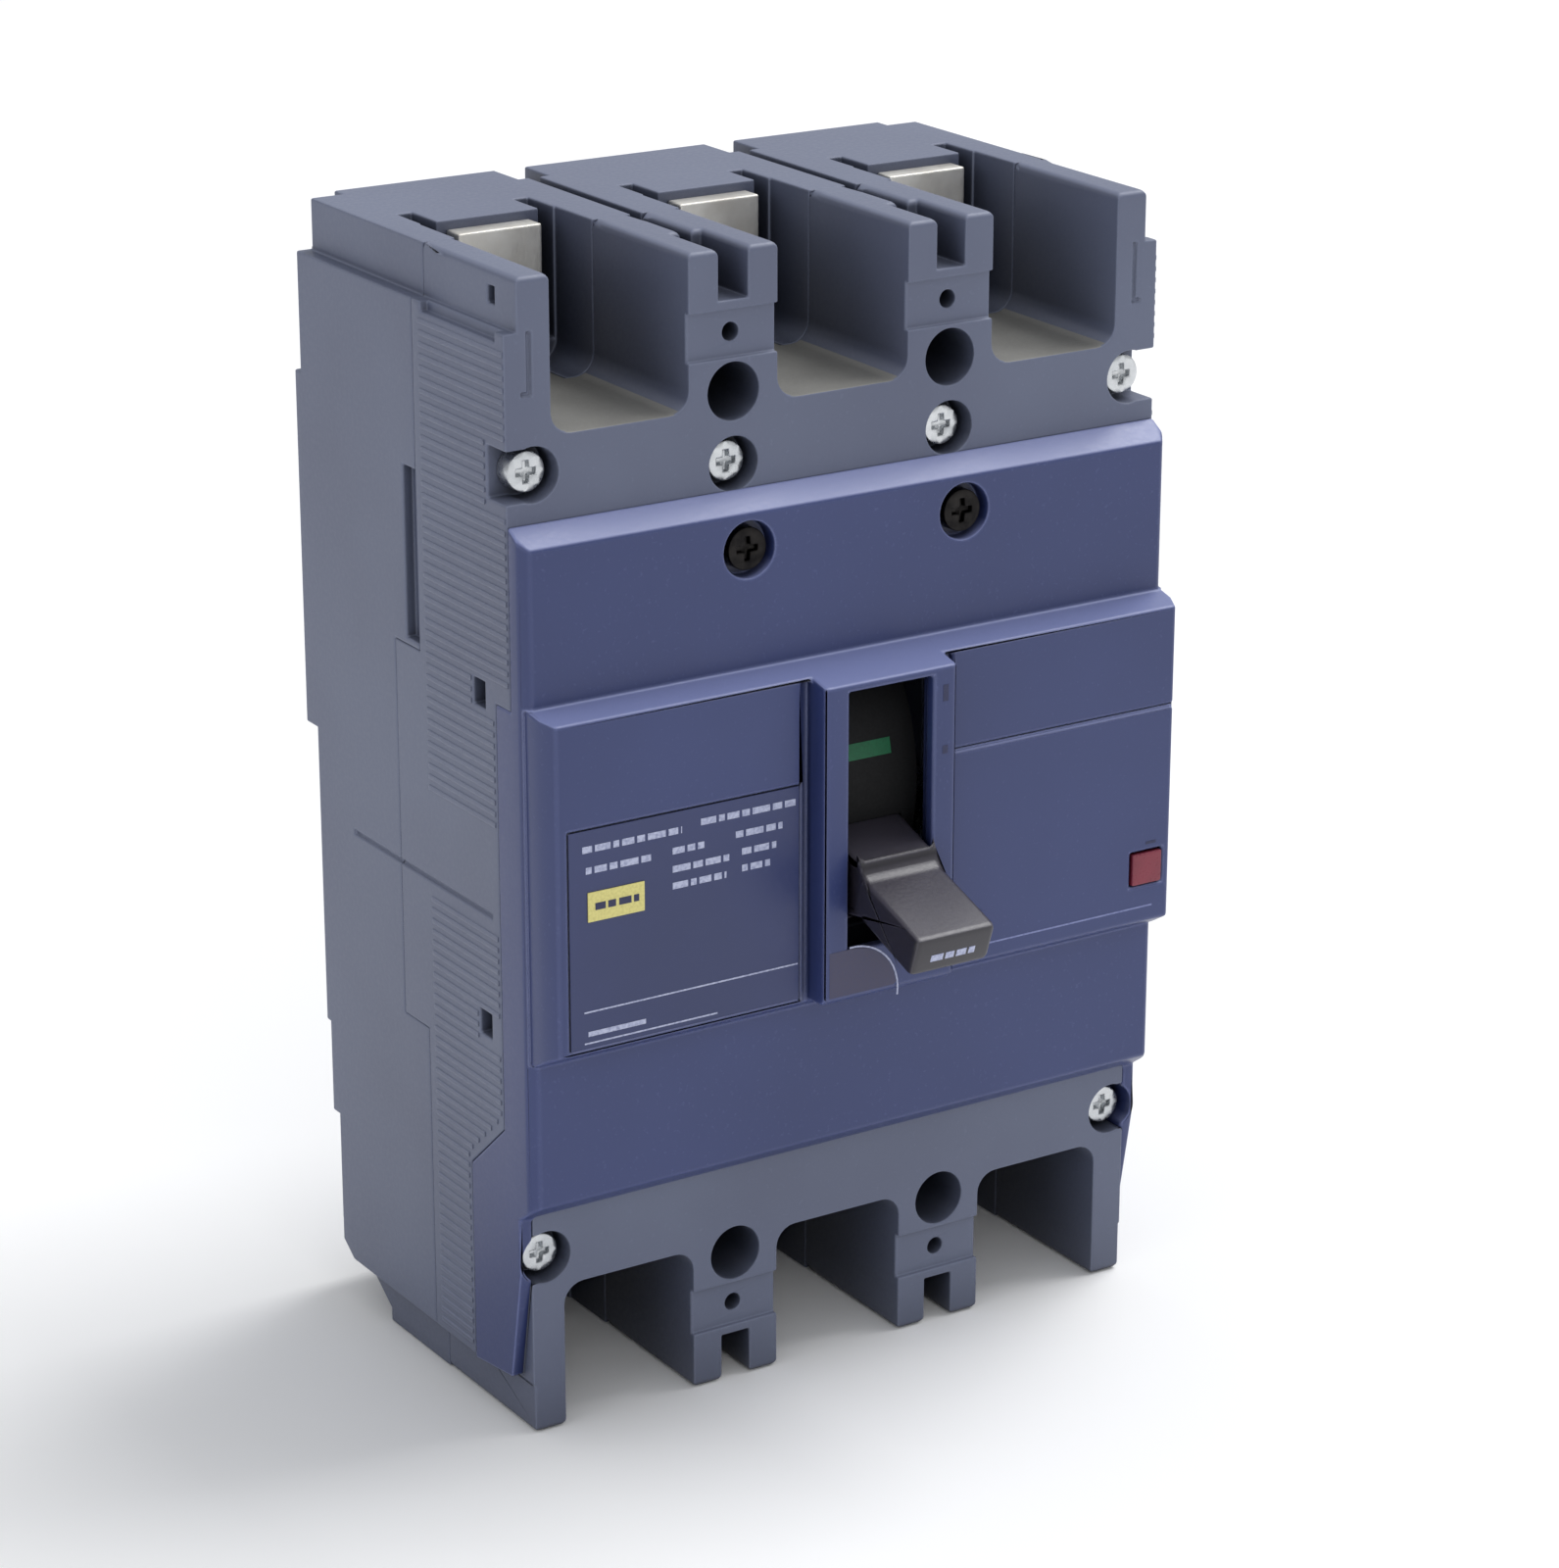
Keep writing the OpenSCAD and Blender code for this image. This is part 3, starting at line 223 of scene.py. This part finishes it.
springWire = platedMetal("drawnSpringWire", {
    "colour": "#8f9296", "shade": "#6f7276", "lineMm": 0.3, "cloudMm": 3, "cornerMm": 0.1,
    "stretch": (1.0, 1.0, 1.0), "rough": 0.3, "bump": 0.1})
tinPlate = platedMetal("tinPlatedCopperBar", {
    "colour": "#f2f0ea", "shade": "#dcd8d0", "lineMm": 0.6, "cloudMm": 6, "cornerMm": 0.3,
    "stretch": (6.0, 1.0, 1.0), "rough": 0.46, "bump": 0.2})
bareCopper = platedMetal("rolledCopper", {
    "colour": "#c07a52", "shade": "#a3603f", "lineMm": 0.5, "cloudMm": 7, "cornerMm": 0.25,
    "stretch": (6.0, 1.0, 1.0), "rough": 0.32, "bump": 0.15})
silverAlloy = platedMetal("silverContactAlloy", {
    "colour": "#d9d7d0", "shade": "#bdb9b0", "lineMm": 0.4, "cloudMm": 2, "cornerMm": 0.2,
    "stretch": (1.0, 1.0, 1.0), "rough": 0.4, "bump": 0.25})
softIron = platedMetal("pickledSoftIron", {
    "colour": "#85878b", "shade": "#6b6d71", "lineMm": 0.5, "cloudMm": 4, "cornerMm": 0.2,
    "stretch": (1.0, 5.0, 1.0), "rough": 0.42, "bump": 0.2})
bimetalStrip = platedMetal("rolledBimetalStrip", {
    "colour": "#c4aa78", "shade": "#a58d60", "lineMm": 0.4, "cloudMm": 5, "cornerMm": 0.1,
    "stretch": (5.0, 1.0, 1.0), "rough": 0.35, "bump": 0.12})
copperBraid = wovenBraid("bareCopperBraid", {"colour": "#c98258", "shade": "#6e3c24"})
whiteInk = printedInk("whitePadPrint", {"colour": "#b4b9d2", "under": "#5a6290", "thin": 0.6, "rough": 0.55})
yellowInk = printedInk("yellowPadPrint", {"colour": "#d8cf83", "under": "#b0a860", "thin": 0.5, "rough": 0.5})
greenInk = printedInk("greenPadPrint", {"colour": "#0f5f3c", "under": "#0b3d26", "thin": 0.4, "rough": 0.5})
faintInk = printedInk("fadedWhitePadPrint", {"colour": "#7c84b0", "under": "#4a5286", "thin": 0.6, "rough": 0.5})
plumInk = printedInk("plumPadPrint", {"colour": "#403e58", "under": "#353a62", "thin": 0.3, "rough": 0.45})
# painted highlight: a paler grey for the upward-facing pocket floors, where the top light falls
paleResin = mouldedPlastic("palePolyesterMoulding", {
    "colour": "#8f8e8a", "shade": "#84837f", "edge": "#a8a7a4", "cornerHighlightShare": 0.3, "cloudMm": 12,
    "grainMm": 0.7, "cornerMm": 0.3, "rough": 0.5, "bump": 0.2, "ior": 1.52})
darkInk = printedInk("darkPadPrint", {"colour": "#23274a", "under": "#3a3f60", "thin": 0.4, "rough": 0.5})
print("materials made")

nodeFinishes = {
    "base_case": greyPolyester, "mid_cover": greyPolyester, "front_cover": bluePolyester, "rating_label": labelFilm,
    "rating_badge": yellowInk, "cover_screws": zincPlate, "front_cover_screws": blackOxide,
    "toggle_handle": darkNylon, "slot_shutter": blackNylon, "main_springs": springWire, "trip_button": redAbs,
    "trip_button_spring": springWire, "line_conductor": tinPlate, "load_conductor": tinPlate,
    "fixed_contacts": silverAlloy, "contact_arm": bareCopper, "moving_contacts": silverAlloy,
    "crossbar": darkPhenolic, "trip_bar": ivoryMelamine, "bimetal": bimetalStrip, "magnet_yoke": softIron,
    "armature": softIron, "arc_chute": fibreBoard, "flexible_braid": copperBraid}
for nodeName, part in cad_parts.items():
    stem = nodeName.rstrip("0123456789").rstrip("_")
    finish = nodeFinishes.get(nodeName) or nodeFinishes.get(stem) or zincPlate
    part.data.materials.clear()
    part.data.materials.append(finish)
print("finishes set on", len(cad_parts), "pieces")


# making pieces

def finishPiece(bm, name, body, material, smoothAngle=30, weighted=False):
    mesh = bpy.data.meshes.new(name)
    bm.to_mesh(mesh)
    bm.free()
    for spare in [a.name for a in mesh.attributes if a.name == "custom_normal"]:
        mesh.attributes.remove(mesh.attributes[spare])
    mesh.materials.append(material)
    mesh.shade_smooth()
    mesh.set_sharp_from_angle(angle=math.radians(smoothAngle))
    piece = bpy.data.objects.new(name, mesh)
    bpy.context.scene.collection.objects.link(piece)
    if weighted:
        modifier = piece.modifiers.new("evenNormals", "WEIGHTED_NORMAL")
        modifier.keep_sharp = True
    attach(piece, body)
    return piece


def addBlock(bm, x, depth, z, slope=0.0):
    # a block from its limits; slope narrows its front face in mm on each side
    made = bmesh.ops.create_cube(bm, size=1.0)["verts"]
    size = Vector((mm(x[1] - x[0]), mm(depth[1] - depth[0]), mm(z[1] - z[0])))
    bmesh.ops.scale(bm, vec=size, verts=made)
    centre = place(sum(x) / 2, sum(depth) / 2, sum(z) / 2)
    bmesh.ops.translate(bm, vec=centre, verts=made)
    if slope:
        for vert in made:
            if vert.co.y < centre.y:
                vert.co.x -= math.copysign(mm(slope), vert.co.x - centre.x)
                vert.co.z -= math.copysign(mm(slope), vert.co.z - centre.z)
    return made


def roundEdges(bm, edges, width, segments):
    bmesh.ops.bevel(bm, geom=edges, offset=mm(width), offset_type="OFFSET", segments=segments, profile=0.5,
                    affect="EDGES", clamp_overlap=False, material=-1)


coverRim = {"z": 82.4, "rear": 34.0, "depth": 36.0, "width": 0.9, "segments": 4,
            "minAngle": 60, "floors": (60.5, 61.6)}


def rimEdges(bm, rim):
    # the outer edges of the ribs at both ends of the case, which the mould rounds more than the rest
    found = []
    for edge in bm.edges:
        if len(edge.link_faces) != 2 or edge.calc_face_angle(0) < math.radians(rim["minAngle"]):
            continue
        first, second = (vert.co for vert in edge.verts)
        high = all(abs(co.z) > mm(rim["z"]) for co in (first, second))
        depths = sorted(-co.y for co in (first, second))
        ahead = depths[0] > mm(rim["rear"]) and depths[1] > mm(rim["depth"])
        if high and ahead and edge.is_convex:  # the seam with the base stays sharp
            found.append(edge)
    return found


def roundedCopy(nodeName, name, body, width, segments=2, sharpFrom=28, rim=None):
    # the same shape as a CAD node, with its sharp edges broken as a mould or a tumbler leaves them
    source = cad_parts[nodeName]
    bm = bmesh.new()
    bm.from_mesh(source.data)
    bmesh.ops.remove_doubles(bm, verts=bm.verts, dist=1e-6)
    if rim:
        roundEdges(bm, rimEdges(bm, rim), rim["width"], rim["segments"])
    sharp = [e for e in bm.edges if len(e.link_faces) == 2 and e.calc_face_angle(0) > math.radians(sharpFrom)]
    roundEdges(bm, sharp, width, segments)
    for axis in range(3):  # no corner of a bevel may stand outside the piece's own box
        reach = [vert.co[axis] for vert in source.data.vertices]
        low, high = min(reach), max(reach)
        for vert in bm.verts:
            vert.co[axis] = min(max(vert.co[axis], low), high)
    piece = finishPiece(bm, name, body, source.data.materials[0], 40, True)
    if rim:
        piece.data.materials.append(paleResin)
        low, high = (mm(z) for z in rim["floors"])
        for polygon in piece.data.polygons:  # painted highlight: the floors of the upper pockets get a paler colour for the light that falls on them from above
            if polygon.normal.z > 0.9 and low < polygon.center.z < high:
                polygon.material_index = 1
    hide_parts(nodeName)
    return piece


roundings = {
    "base_case": ("caseBase", "case", 0.3), "mid_cover": ("caseCover", "case", 0.3),
    "front_cover": ("frontCover", "case", 0.4), "toggle_handle": ("toggleGrip", "handle", 0.9),
    "trip_button": ("tripButton", "trip_button", 0.3), "cover_screws": ("coverScrews", "case", 0.2),
    "front_cover_screws": ("frontScrews", "case", 0.2), "slot_shutter": ("slotShutter", "handle", 0.15),
    "rating_label": ("ratingLabel", "case", 0.08), "rating_badge": ("ratingBadge", "case", 0.06),
    "terminal_nuts": ("terminalNuts", "case", 0.3)}
for side in ("line", "load"):
    for pole in (1, 2, 3):
        roundings[f"{side}_conductor_{pole}"] = (f"{side}Bar{pole}", "case", 0.35)
for nodeName, (name, body, width) in roundings.items():
    roundedCopy(nodeName, name, body, width, rim=coverRim if nodeName == "mid_cover" else None)
print("rounded copies made")

sideRibs = {
    "halfWidth": 52.5, "pitch": 1.6, "height": 1.0, "lean": 0.35, "proud": 0.16, "sunk": 0.4, "rear": 37.0,
    "front": 55.6, "bands": ((6.6, 74.0), (-73.8, -8.0)),
    "upperFrom": 26, "upperFront": 59.7, "screwAt": 56.0, "screwReach": 4.6, "screwFront": 54.4,
    "slopeFrom": -36, "slope": 1.14, "wingFrom": -45, "wingFront": 46.1,
    "windows": ((24.6, 2.4), (-23.0, 2.4)), "windowRear": 49.6}


def ribFront(z):
    # how far forward the line at height z reaches: it gives way to a screw, the blue wing or a window
    centre = z + sideRibs["height"] / 2
    front = sideRibs["front"]
    if z > sideRibs["upperFrom"]:
        besideScrew = abs(centre - sideRibs["screwAt"]) <= sideRibs["screwReach"]
        front = sideRibs["screwFront"] if besideScrew else sideRibs["upperFront"]
    if z < sideRibs["slopeFrom"]:
        front = max(sideRibs["wingFront"], front - (sideRibs["slopeFrom"] - z) * sideRibs["slope"])
    if z < sideRibs["wingFrom"]:
        front = sideRibs["wingFront"]
    if any(abs(centre - at) < reach for at, reach in sideRibs["windows"]):
        front = sideRibs["windowRear"]
    return front


def makeSideRibs(name, side):
    # the fine horizontal grip lines on the flanks of the cover
    bm = bmesh.new()
    for low, high in sideRibs["bands"]:
        for step in range(int((high - low) / sideRibs["pitch"])):
            z = low + step * sideRibs["pitch"]
            outer = sideRibs["halfWidth"] + sideRibs["proud"]
            x = sorted((side * (sideRibs["halfWidth"] - sideRibs["sunk"]), side * outer))
            rib = addBlock(bm, x, (sideRibs["rear"], ribFront(z)), (z, z + sideRibs["height"]))
            for vert in rib:  # each line leans like a saw tooth, so its upper face catches the light
                if abs(vert.co.x) > mm(sideRibs["halfWidth"]) and vert.co.z > mm(z + sideRibs["height"] / 2):
                    vert.co.z -= mm(sideRibs["lean"])
    return finishPiece(bm, name, "case", greyPolyester, 20)


makeSideRibs("sideRibsLeft", -1)
makeSideRibs("sideRibsRight", 1)
print("side ribs made")

labelPrint = {"face": 69.0, "proud": 0.04,
              "rules": ((-47.0, -13.0, -16.8, 0.22), (-47.0, -26.0, -21.3, 0.22), (-46.4, -37.4, -20.0, 0.7)),
              "rows": ((-47.0, -31.5, 6.4), (-28.5, -13.4, 6.9), (-46.5, -36.0, 3.4), (-33.0, -28.0, 3.6),
                       (-23.0, -15.5, 4.0), (-33.0, -24.0, 1.0), (-22.0, -16.5, 1.4), (-33.0, -24.5, -1.4),
                       (-22.0, -17.5, -1.0)),
              "strokeHeight": 0.94, "strokeLengths": (1.5, 2.4, 0.9, 1.9, 1.2, 2.8), "strokeGap": 0.45, "sunk": 0.05}


def makeLabelPrint():
    # thin rules and rows of plain dashes stand for the rating data
    bm = bmesh.new()
    depth = (labelPrint["face"] - labelPrint["sunk"], labelPrint["face"] + labelPrint["proud"])
    half = labelPrint["strokeHeight"] / 2
    for x0, x1, z, thick in labelPrint["rules"]:
        addBlock(bm, (x0, x1), depth, (z - thick / 2, z + thick / 2))
    for row, (x0, x1, z) in enumerate(labelPrint["rows"]):
        x, count = x0, row
        while x < x1:
            length = min(labelPrint["strokeLengths"][count % len(labelPrint["strokeLengths"])], x1 - x)
            addBlock(bm, (x, x + length), depth, (z - half, z + half))
            x += length + labelPrint["strokeGap"]
            count += 1
    return finishPiece(bm, "labelPrint", "case", whiteInk)


makeLabelPrint()

quarterRing = {"centre": (-6.2, -22.2), "depth": 72.54, "radius": 7.4, "outer": 1.035,
               "startAngle": -8, "stepAngle": 8.5, "points": 13}


def faceForward(bm):
    bmesh.ops.recalc_face_normals(bm, faces=bm.faces)
    for face in bm.faces:
        if face.normal.y > 0:
            face.normal_flip()


def makeQuarterRing():
    # painted highlight: the thin white quarter ring below the toggle, where light catches the rim of a round boss
    # that is not modelled
    bm = bmesh.new()
    x, z = quarterRing["centre"]
    radius, depth = quarterRing["radius"], quarterRing["depth"]
    ring = []
    for step in range(quarterRing["points"]):
        angle = math.radians(quarterRing["startAngle"] + step * quarterRing["stepAngle"])
        ring.append(bm.verts.new(place(x + radius * math.cos(angle), depth, z + radius * math.sin(angle))))
    arc = [bm.edges.new(pair) for pair in zip(ring, ring[1:])]
    extruded = bmesh.ops.extrude_edge_only(bm, edges=arc)["geom"]
    centre = place(x, depth, z)
    for vert in (item for item in extruded if isinstance(item, bmesh.types.BMVert)):
        vert.co = centre + (vert.co - centre) * quarterRing["outer"]
    faceForward(bm)
    return finishPiece(bm, "frontMarks", "case", whiteInk)


makeQuarterRing()

faintRule = {"x": (13.0, 48.0), "depth": (68.9, 69.03), "z": (-20.6, -20.35)}


def makeFaintRule():
    # a faded rule along the foot of the right-hand panel
    bm = bmesh.new()
    addBlock(bm, faintRule["x"], faintRule["depth"], faintRule["z"])
    return finishPiece(bm, "faintRule", "case", faintInk)


makeFaintRule()

plumPatch = {"left": -10.0, "foot": -21.6, "right": 6.9, "depth": 72.53, "radius": 7.3,
             "startAngle": 8, "stepAngle": 10.25, "points": 9}


def makePlumPatch():
    # the printed patch inside the quarter ring, in the lower left corner of the surround
    bm = bmesh.new()
    x, z = quarterRing["centre"]
    outline = [(plumPatch["left"], plumPatch["foot"]), (plumPatch["right"] + x, plumPatch["foot"])]
    for step in range(plumPatch["points"]):
        angle = math.radians(plumPatch["startAngle"] + step * plumPatch["stepAngle"])
        outline.append((x + plumPatch["radius"] * math.cos(angle), z + plumPatch["radius"] * math.sin(angle)))
    outline.append((plumPatch["left"], outline[-1][1]))
    bm.faces.new([bm.verts.new(place(x, plumPatch["depth"], z)) for x, z in outline])
    faceForward(bm)
    return finishPiece(bm, "plumPatch", "case", plumInk)


makePlumPatch()

darkMarks = {"bandX": (8.4, 9.3), "bandDepth": (72.4, 72.54), "bands": ((19.6, 2.4), (11.4, 1.2)),
             "dashX": (46.6, 48.4), "dashDepth": (68.9, 69.04), "dashZ": (-11.0, -10.6)}


def makeDarkMarks():
    # the two small bands beside the toggle and the dash above the button
    bm = bmesh.new()
    for z, height in darkMarks["bands"]:
        addBlock(bm, darkMarks["bandX"], darkMarks["bandDepth"], (z - height / 2, z + height / 2))
    addBlock(bm, darkMarks["dashX"], darkMarks["dashDepth"], darkMarks["dashZ"])
    return finishPiece(bm, "darkMarks", "case", darkInk)


makeDarkMarks()

badgeMarks = {"depth": (69.2 - 0.05, 69.2 + 0.04), "z": (-2.3, -1.3),
              "dashes": ((-45.2, -43.6), (-43.2, -42.0), (-41.5, -39.6), (-39.2, -38.4))}


def makeBadgeMarks():
    # plain dashes on the yellow badge
    bm = bmesh.new()
    for x in badgeMarks["dashes"]:
        addBlock(bm, x, badgeMarks["depth"], badgeMarks["z"])
    return finishPiece(bm, "badgeMarks", "case", darkInk)


makeBadgeMarks()
print("print made")

togglePivot = place(0, 40.0, 5.0)  # the axis that the toggle and its shutter turn on
stateBand = {"radius": 26.28, "from": 10.5, "to": 15.5, "left": -8.2, "right": 4.4, "steps": 8}


def makeStateBand():
    # the green band on the shutter that shows beside the toggle
    bm = bmesh.new()
    start = math.radians(stateBand["from"])
    radius = mm(stateBand["radius"])
    foot = togglePivot + Vector((0, -radius * math.cos(start), radius * math.sin(start)))
    ends = [bm.verts.new(foot + Vector((mm(stateBand[side]), 0, 0))) for side in ("left", "right")]
    line = bm.edges.new(ends)
    bmesh.ops.spin(bm, geom=ends + [line], cent=togglePivot, axis=(-1, 0, 0), steps=stateBand["steps"],
                   angle=math.radians(stateBand["to"] - stateBand["from"]), use_merge=False)
    bmesh.ops.recalc_face_normals(bm, faces=bm.faces)
    for face in bm.faces:
        if face.normal.dot(face.calc_center_median() - togglePivot) < 0:
            face.normal_flip()
    return finishPiece(bm, "greenBand", "handle", greenInk)


makeStateBand()

toggleMarks = {"tip": 90.6, "sunk": 0.1, "proud": 0.04, "z": (4.0, 5.1), "offAngle": 19.0,
               "dashes": ((-3.6, -1.6), (-1.2, 0.2), (0.6, 2.2), (2.6, 3.6))}


def makeToggleMarks():
    # plain white dashes on the end of the toggle, where a rating would be
    bm = bmesh.new()
    depth = (toggleMarks["tip"] - toggleMarks["sunk"], toggleMarks["tip"] + toggleMarks["proud"])
    for x in toggleMarks["dashes"]:
        addBlock(bm, x, depth, toggleMarks["z"])
    toOff = Matrix.Rotation(math.radians(toggleMarks["offAngle"]), 3, "X")
    bmesh.ops.rotate(bm, cent=togglePivot, matrix=toOff, verts=bm.verts)
    return finishPiece(bm, "toggleMarks", "handle", whiteInk)


makeToggleMarks()
print("toggle marks made")


# studio

studioFloor = {"halfSize": 6.0, "z": -82.6, "colour": "#ffffff", "rough": 0.9}


def makeFloor():
    bm = bmesh.new()
    bmesh.ops.create_grid(bm, x_segments=1, y_segments=1, size=studioFloor["halfSize"])
    bmesh.ops.translate(bm, vec=(0, 0, mm(studioFloor["z"])), verts=bm.verts)
    mesh = bpy.data.meshes.new("studioFloor")
    bm.to_mesh(mesh)
    bm.free()
    material, tree, shader, coords = startMaterial("paleStudioPaper")
    shader.inputs["Base Color"].default_value = linearHex(studioFloor["colour"])
    shader.inputs["Roughness"].default_value = studioFloor["rough"]
    mesh.materials.append(material)
    floor = bpy.data.objects.new("studioFloor", mesh)
    bpy.context.scene.collection.objects.link(floor)


makeFloor()

studioLights = {
    "key": {"at": (1.62, 0.04, 2.76), "size": 1.9, "power": 66.0, "colour": "#ffffff"},
    "front": {"at": (-0.7, -2.7, 1.5), "size": 2.2, "power": 15.5, "colour": "#ffffff"},
    "side": {"at": (-2.7, -0.5, 0.7), "size": 1.8, "power": 7.5, "colour": "#f6f8ff"}}
skyGlow = {"colour": "#f7f9fc", "strength": 0.55}


def makeLights():
    for name, light in studioLights.items():
        data = bpy.data.lights.new(name + "Light", "AREA")
        data.shape = "SQUARE"
        data.size = light["size"]
        data.energy = light["power"]
        data.color = linearHex(light["colour"])[:3]
        lamp = bpy.data.objects.new(name + "Light", data)
        lamp.location = Vector(light["at"])
        lamp.rotation_mode = "QUATERNION"
        lamp.rotation_quaternion = (-Vector(light["at"])).to_track_quat("-Z", "Y")
        bpy.context.scene.collection.objects.link(lamp)
    world = bpy.data.worlds.new("paleStudio")
    world.use_nodes = True
    world.node_tree.nodes["Background"].inputs[0].default_value = linearHex(skyGlow["colour"])
    world.node_tree.nodes["Background"].inputs[1].default_value = skyGlow["strength"]
    bpy.context.scene.world = world


makeLights()

cameraView = {"azimuth": -32.63, "elevation": 19.33, "roll": 0.073, "distance": 696.5, "across": 23.74, "up": -12.71,
              "lens": 106.73}


def makeCamera():
    azimuth, elevation = math.radians(cameraView["azimuth"]), math.radians(cameraView["elevation"])
    back = Vector((math.sin(azimuth) * math.cos(elevation), -math.cos(azimuth) * math.cos(elevation),
                   math.sin(elevation)))
    flatRight = (-back).cross(Vector((0, 0, 1))).normalized()
    flatUp = flatRight.cross(-back)
    roll = math.radians(cameraView["roll"])
    right = flatRight * math.cos(roll) + flatUp * math.sin(roll)
    up = flatUp * math.cos(roll) - flatRight * math.sin(roll)
    data = bpy.data.cameras.new("studioCamera")
    data.sensor_fit = "AUTO"
    data.sensor_width = 36.0
    data.lens = cameraView["lens"]
    data.clip_start, data.clip_end = 0.05, 20.0
    camera = bpy.data.objects.new("studioCamera", data)
    turn = Matrix((right, up, back)).transposed().to_4x4()
    spot = back * mm(cameraView["distance"]) + right * mm(cameraView["across"]) + up * mm(cameraView["up"])
    camera.matrix_world = Matrix.Translation(spot) @ turn
    bpy.context.scene.collection.objects.link(camera)
    bpy.context.scene.camera = camera


makeCamera()
bpy.context.scene.view_settings.view_transform = "Standard"
print("studio ready")
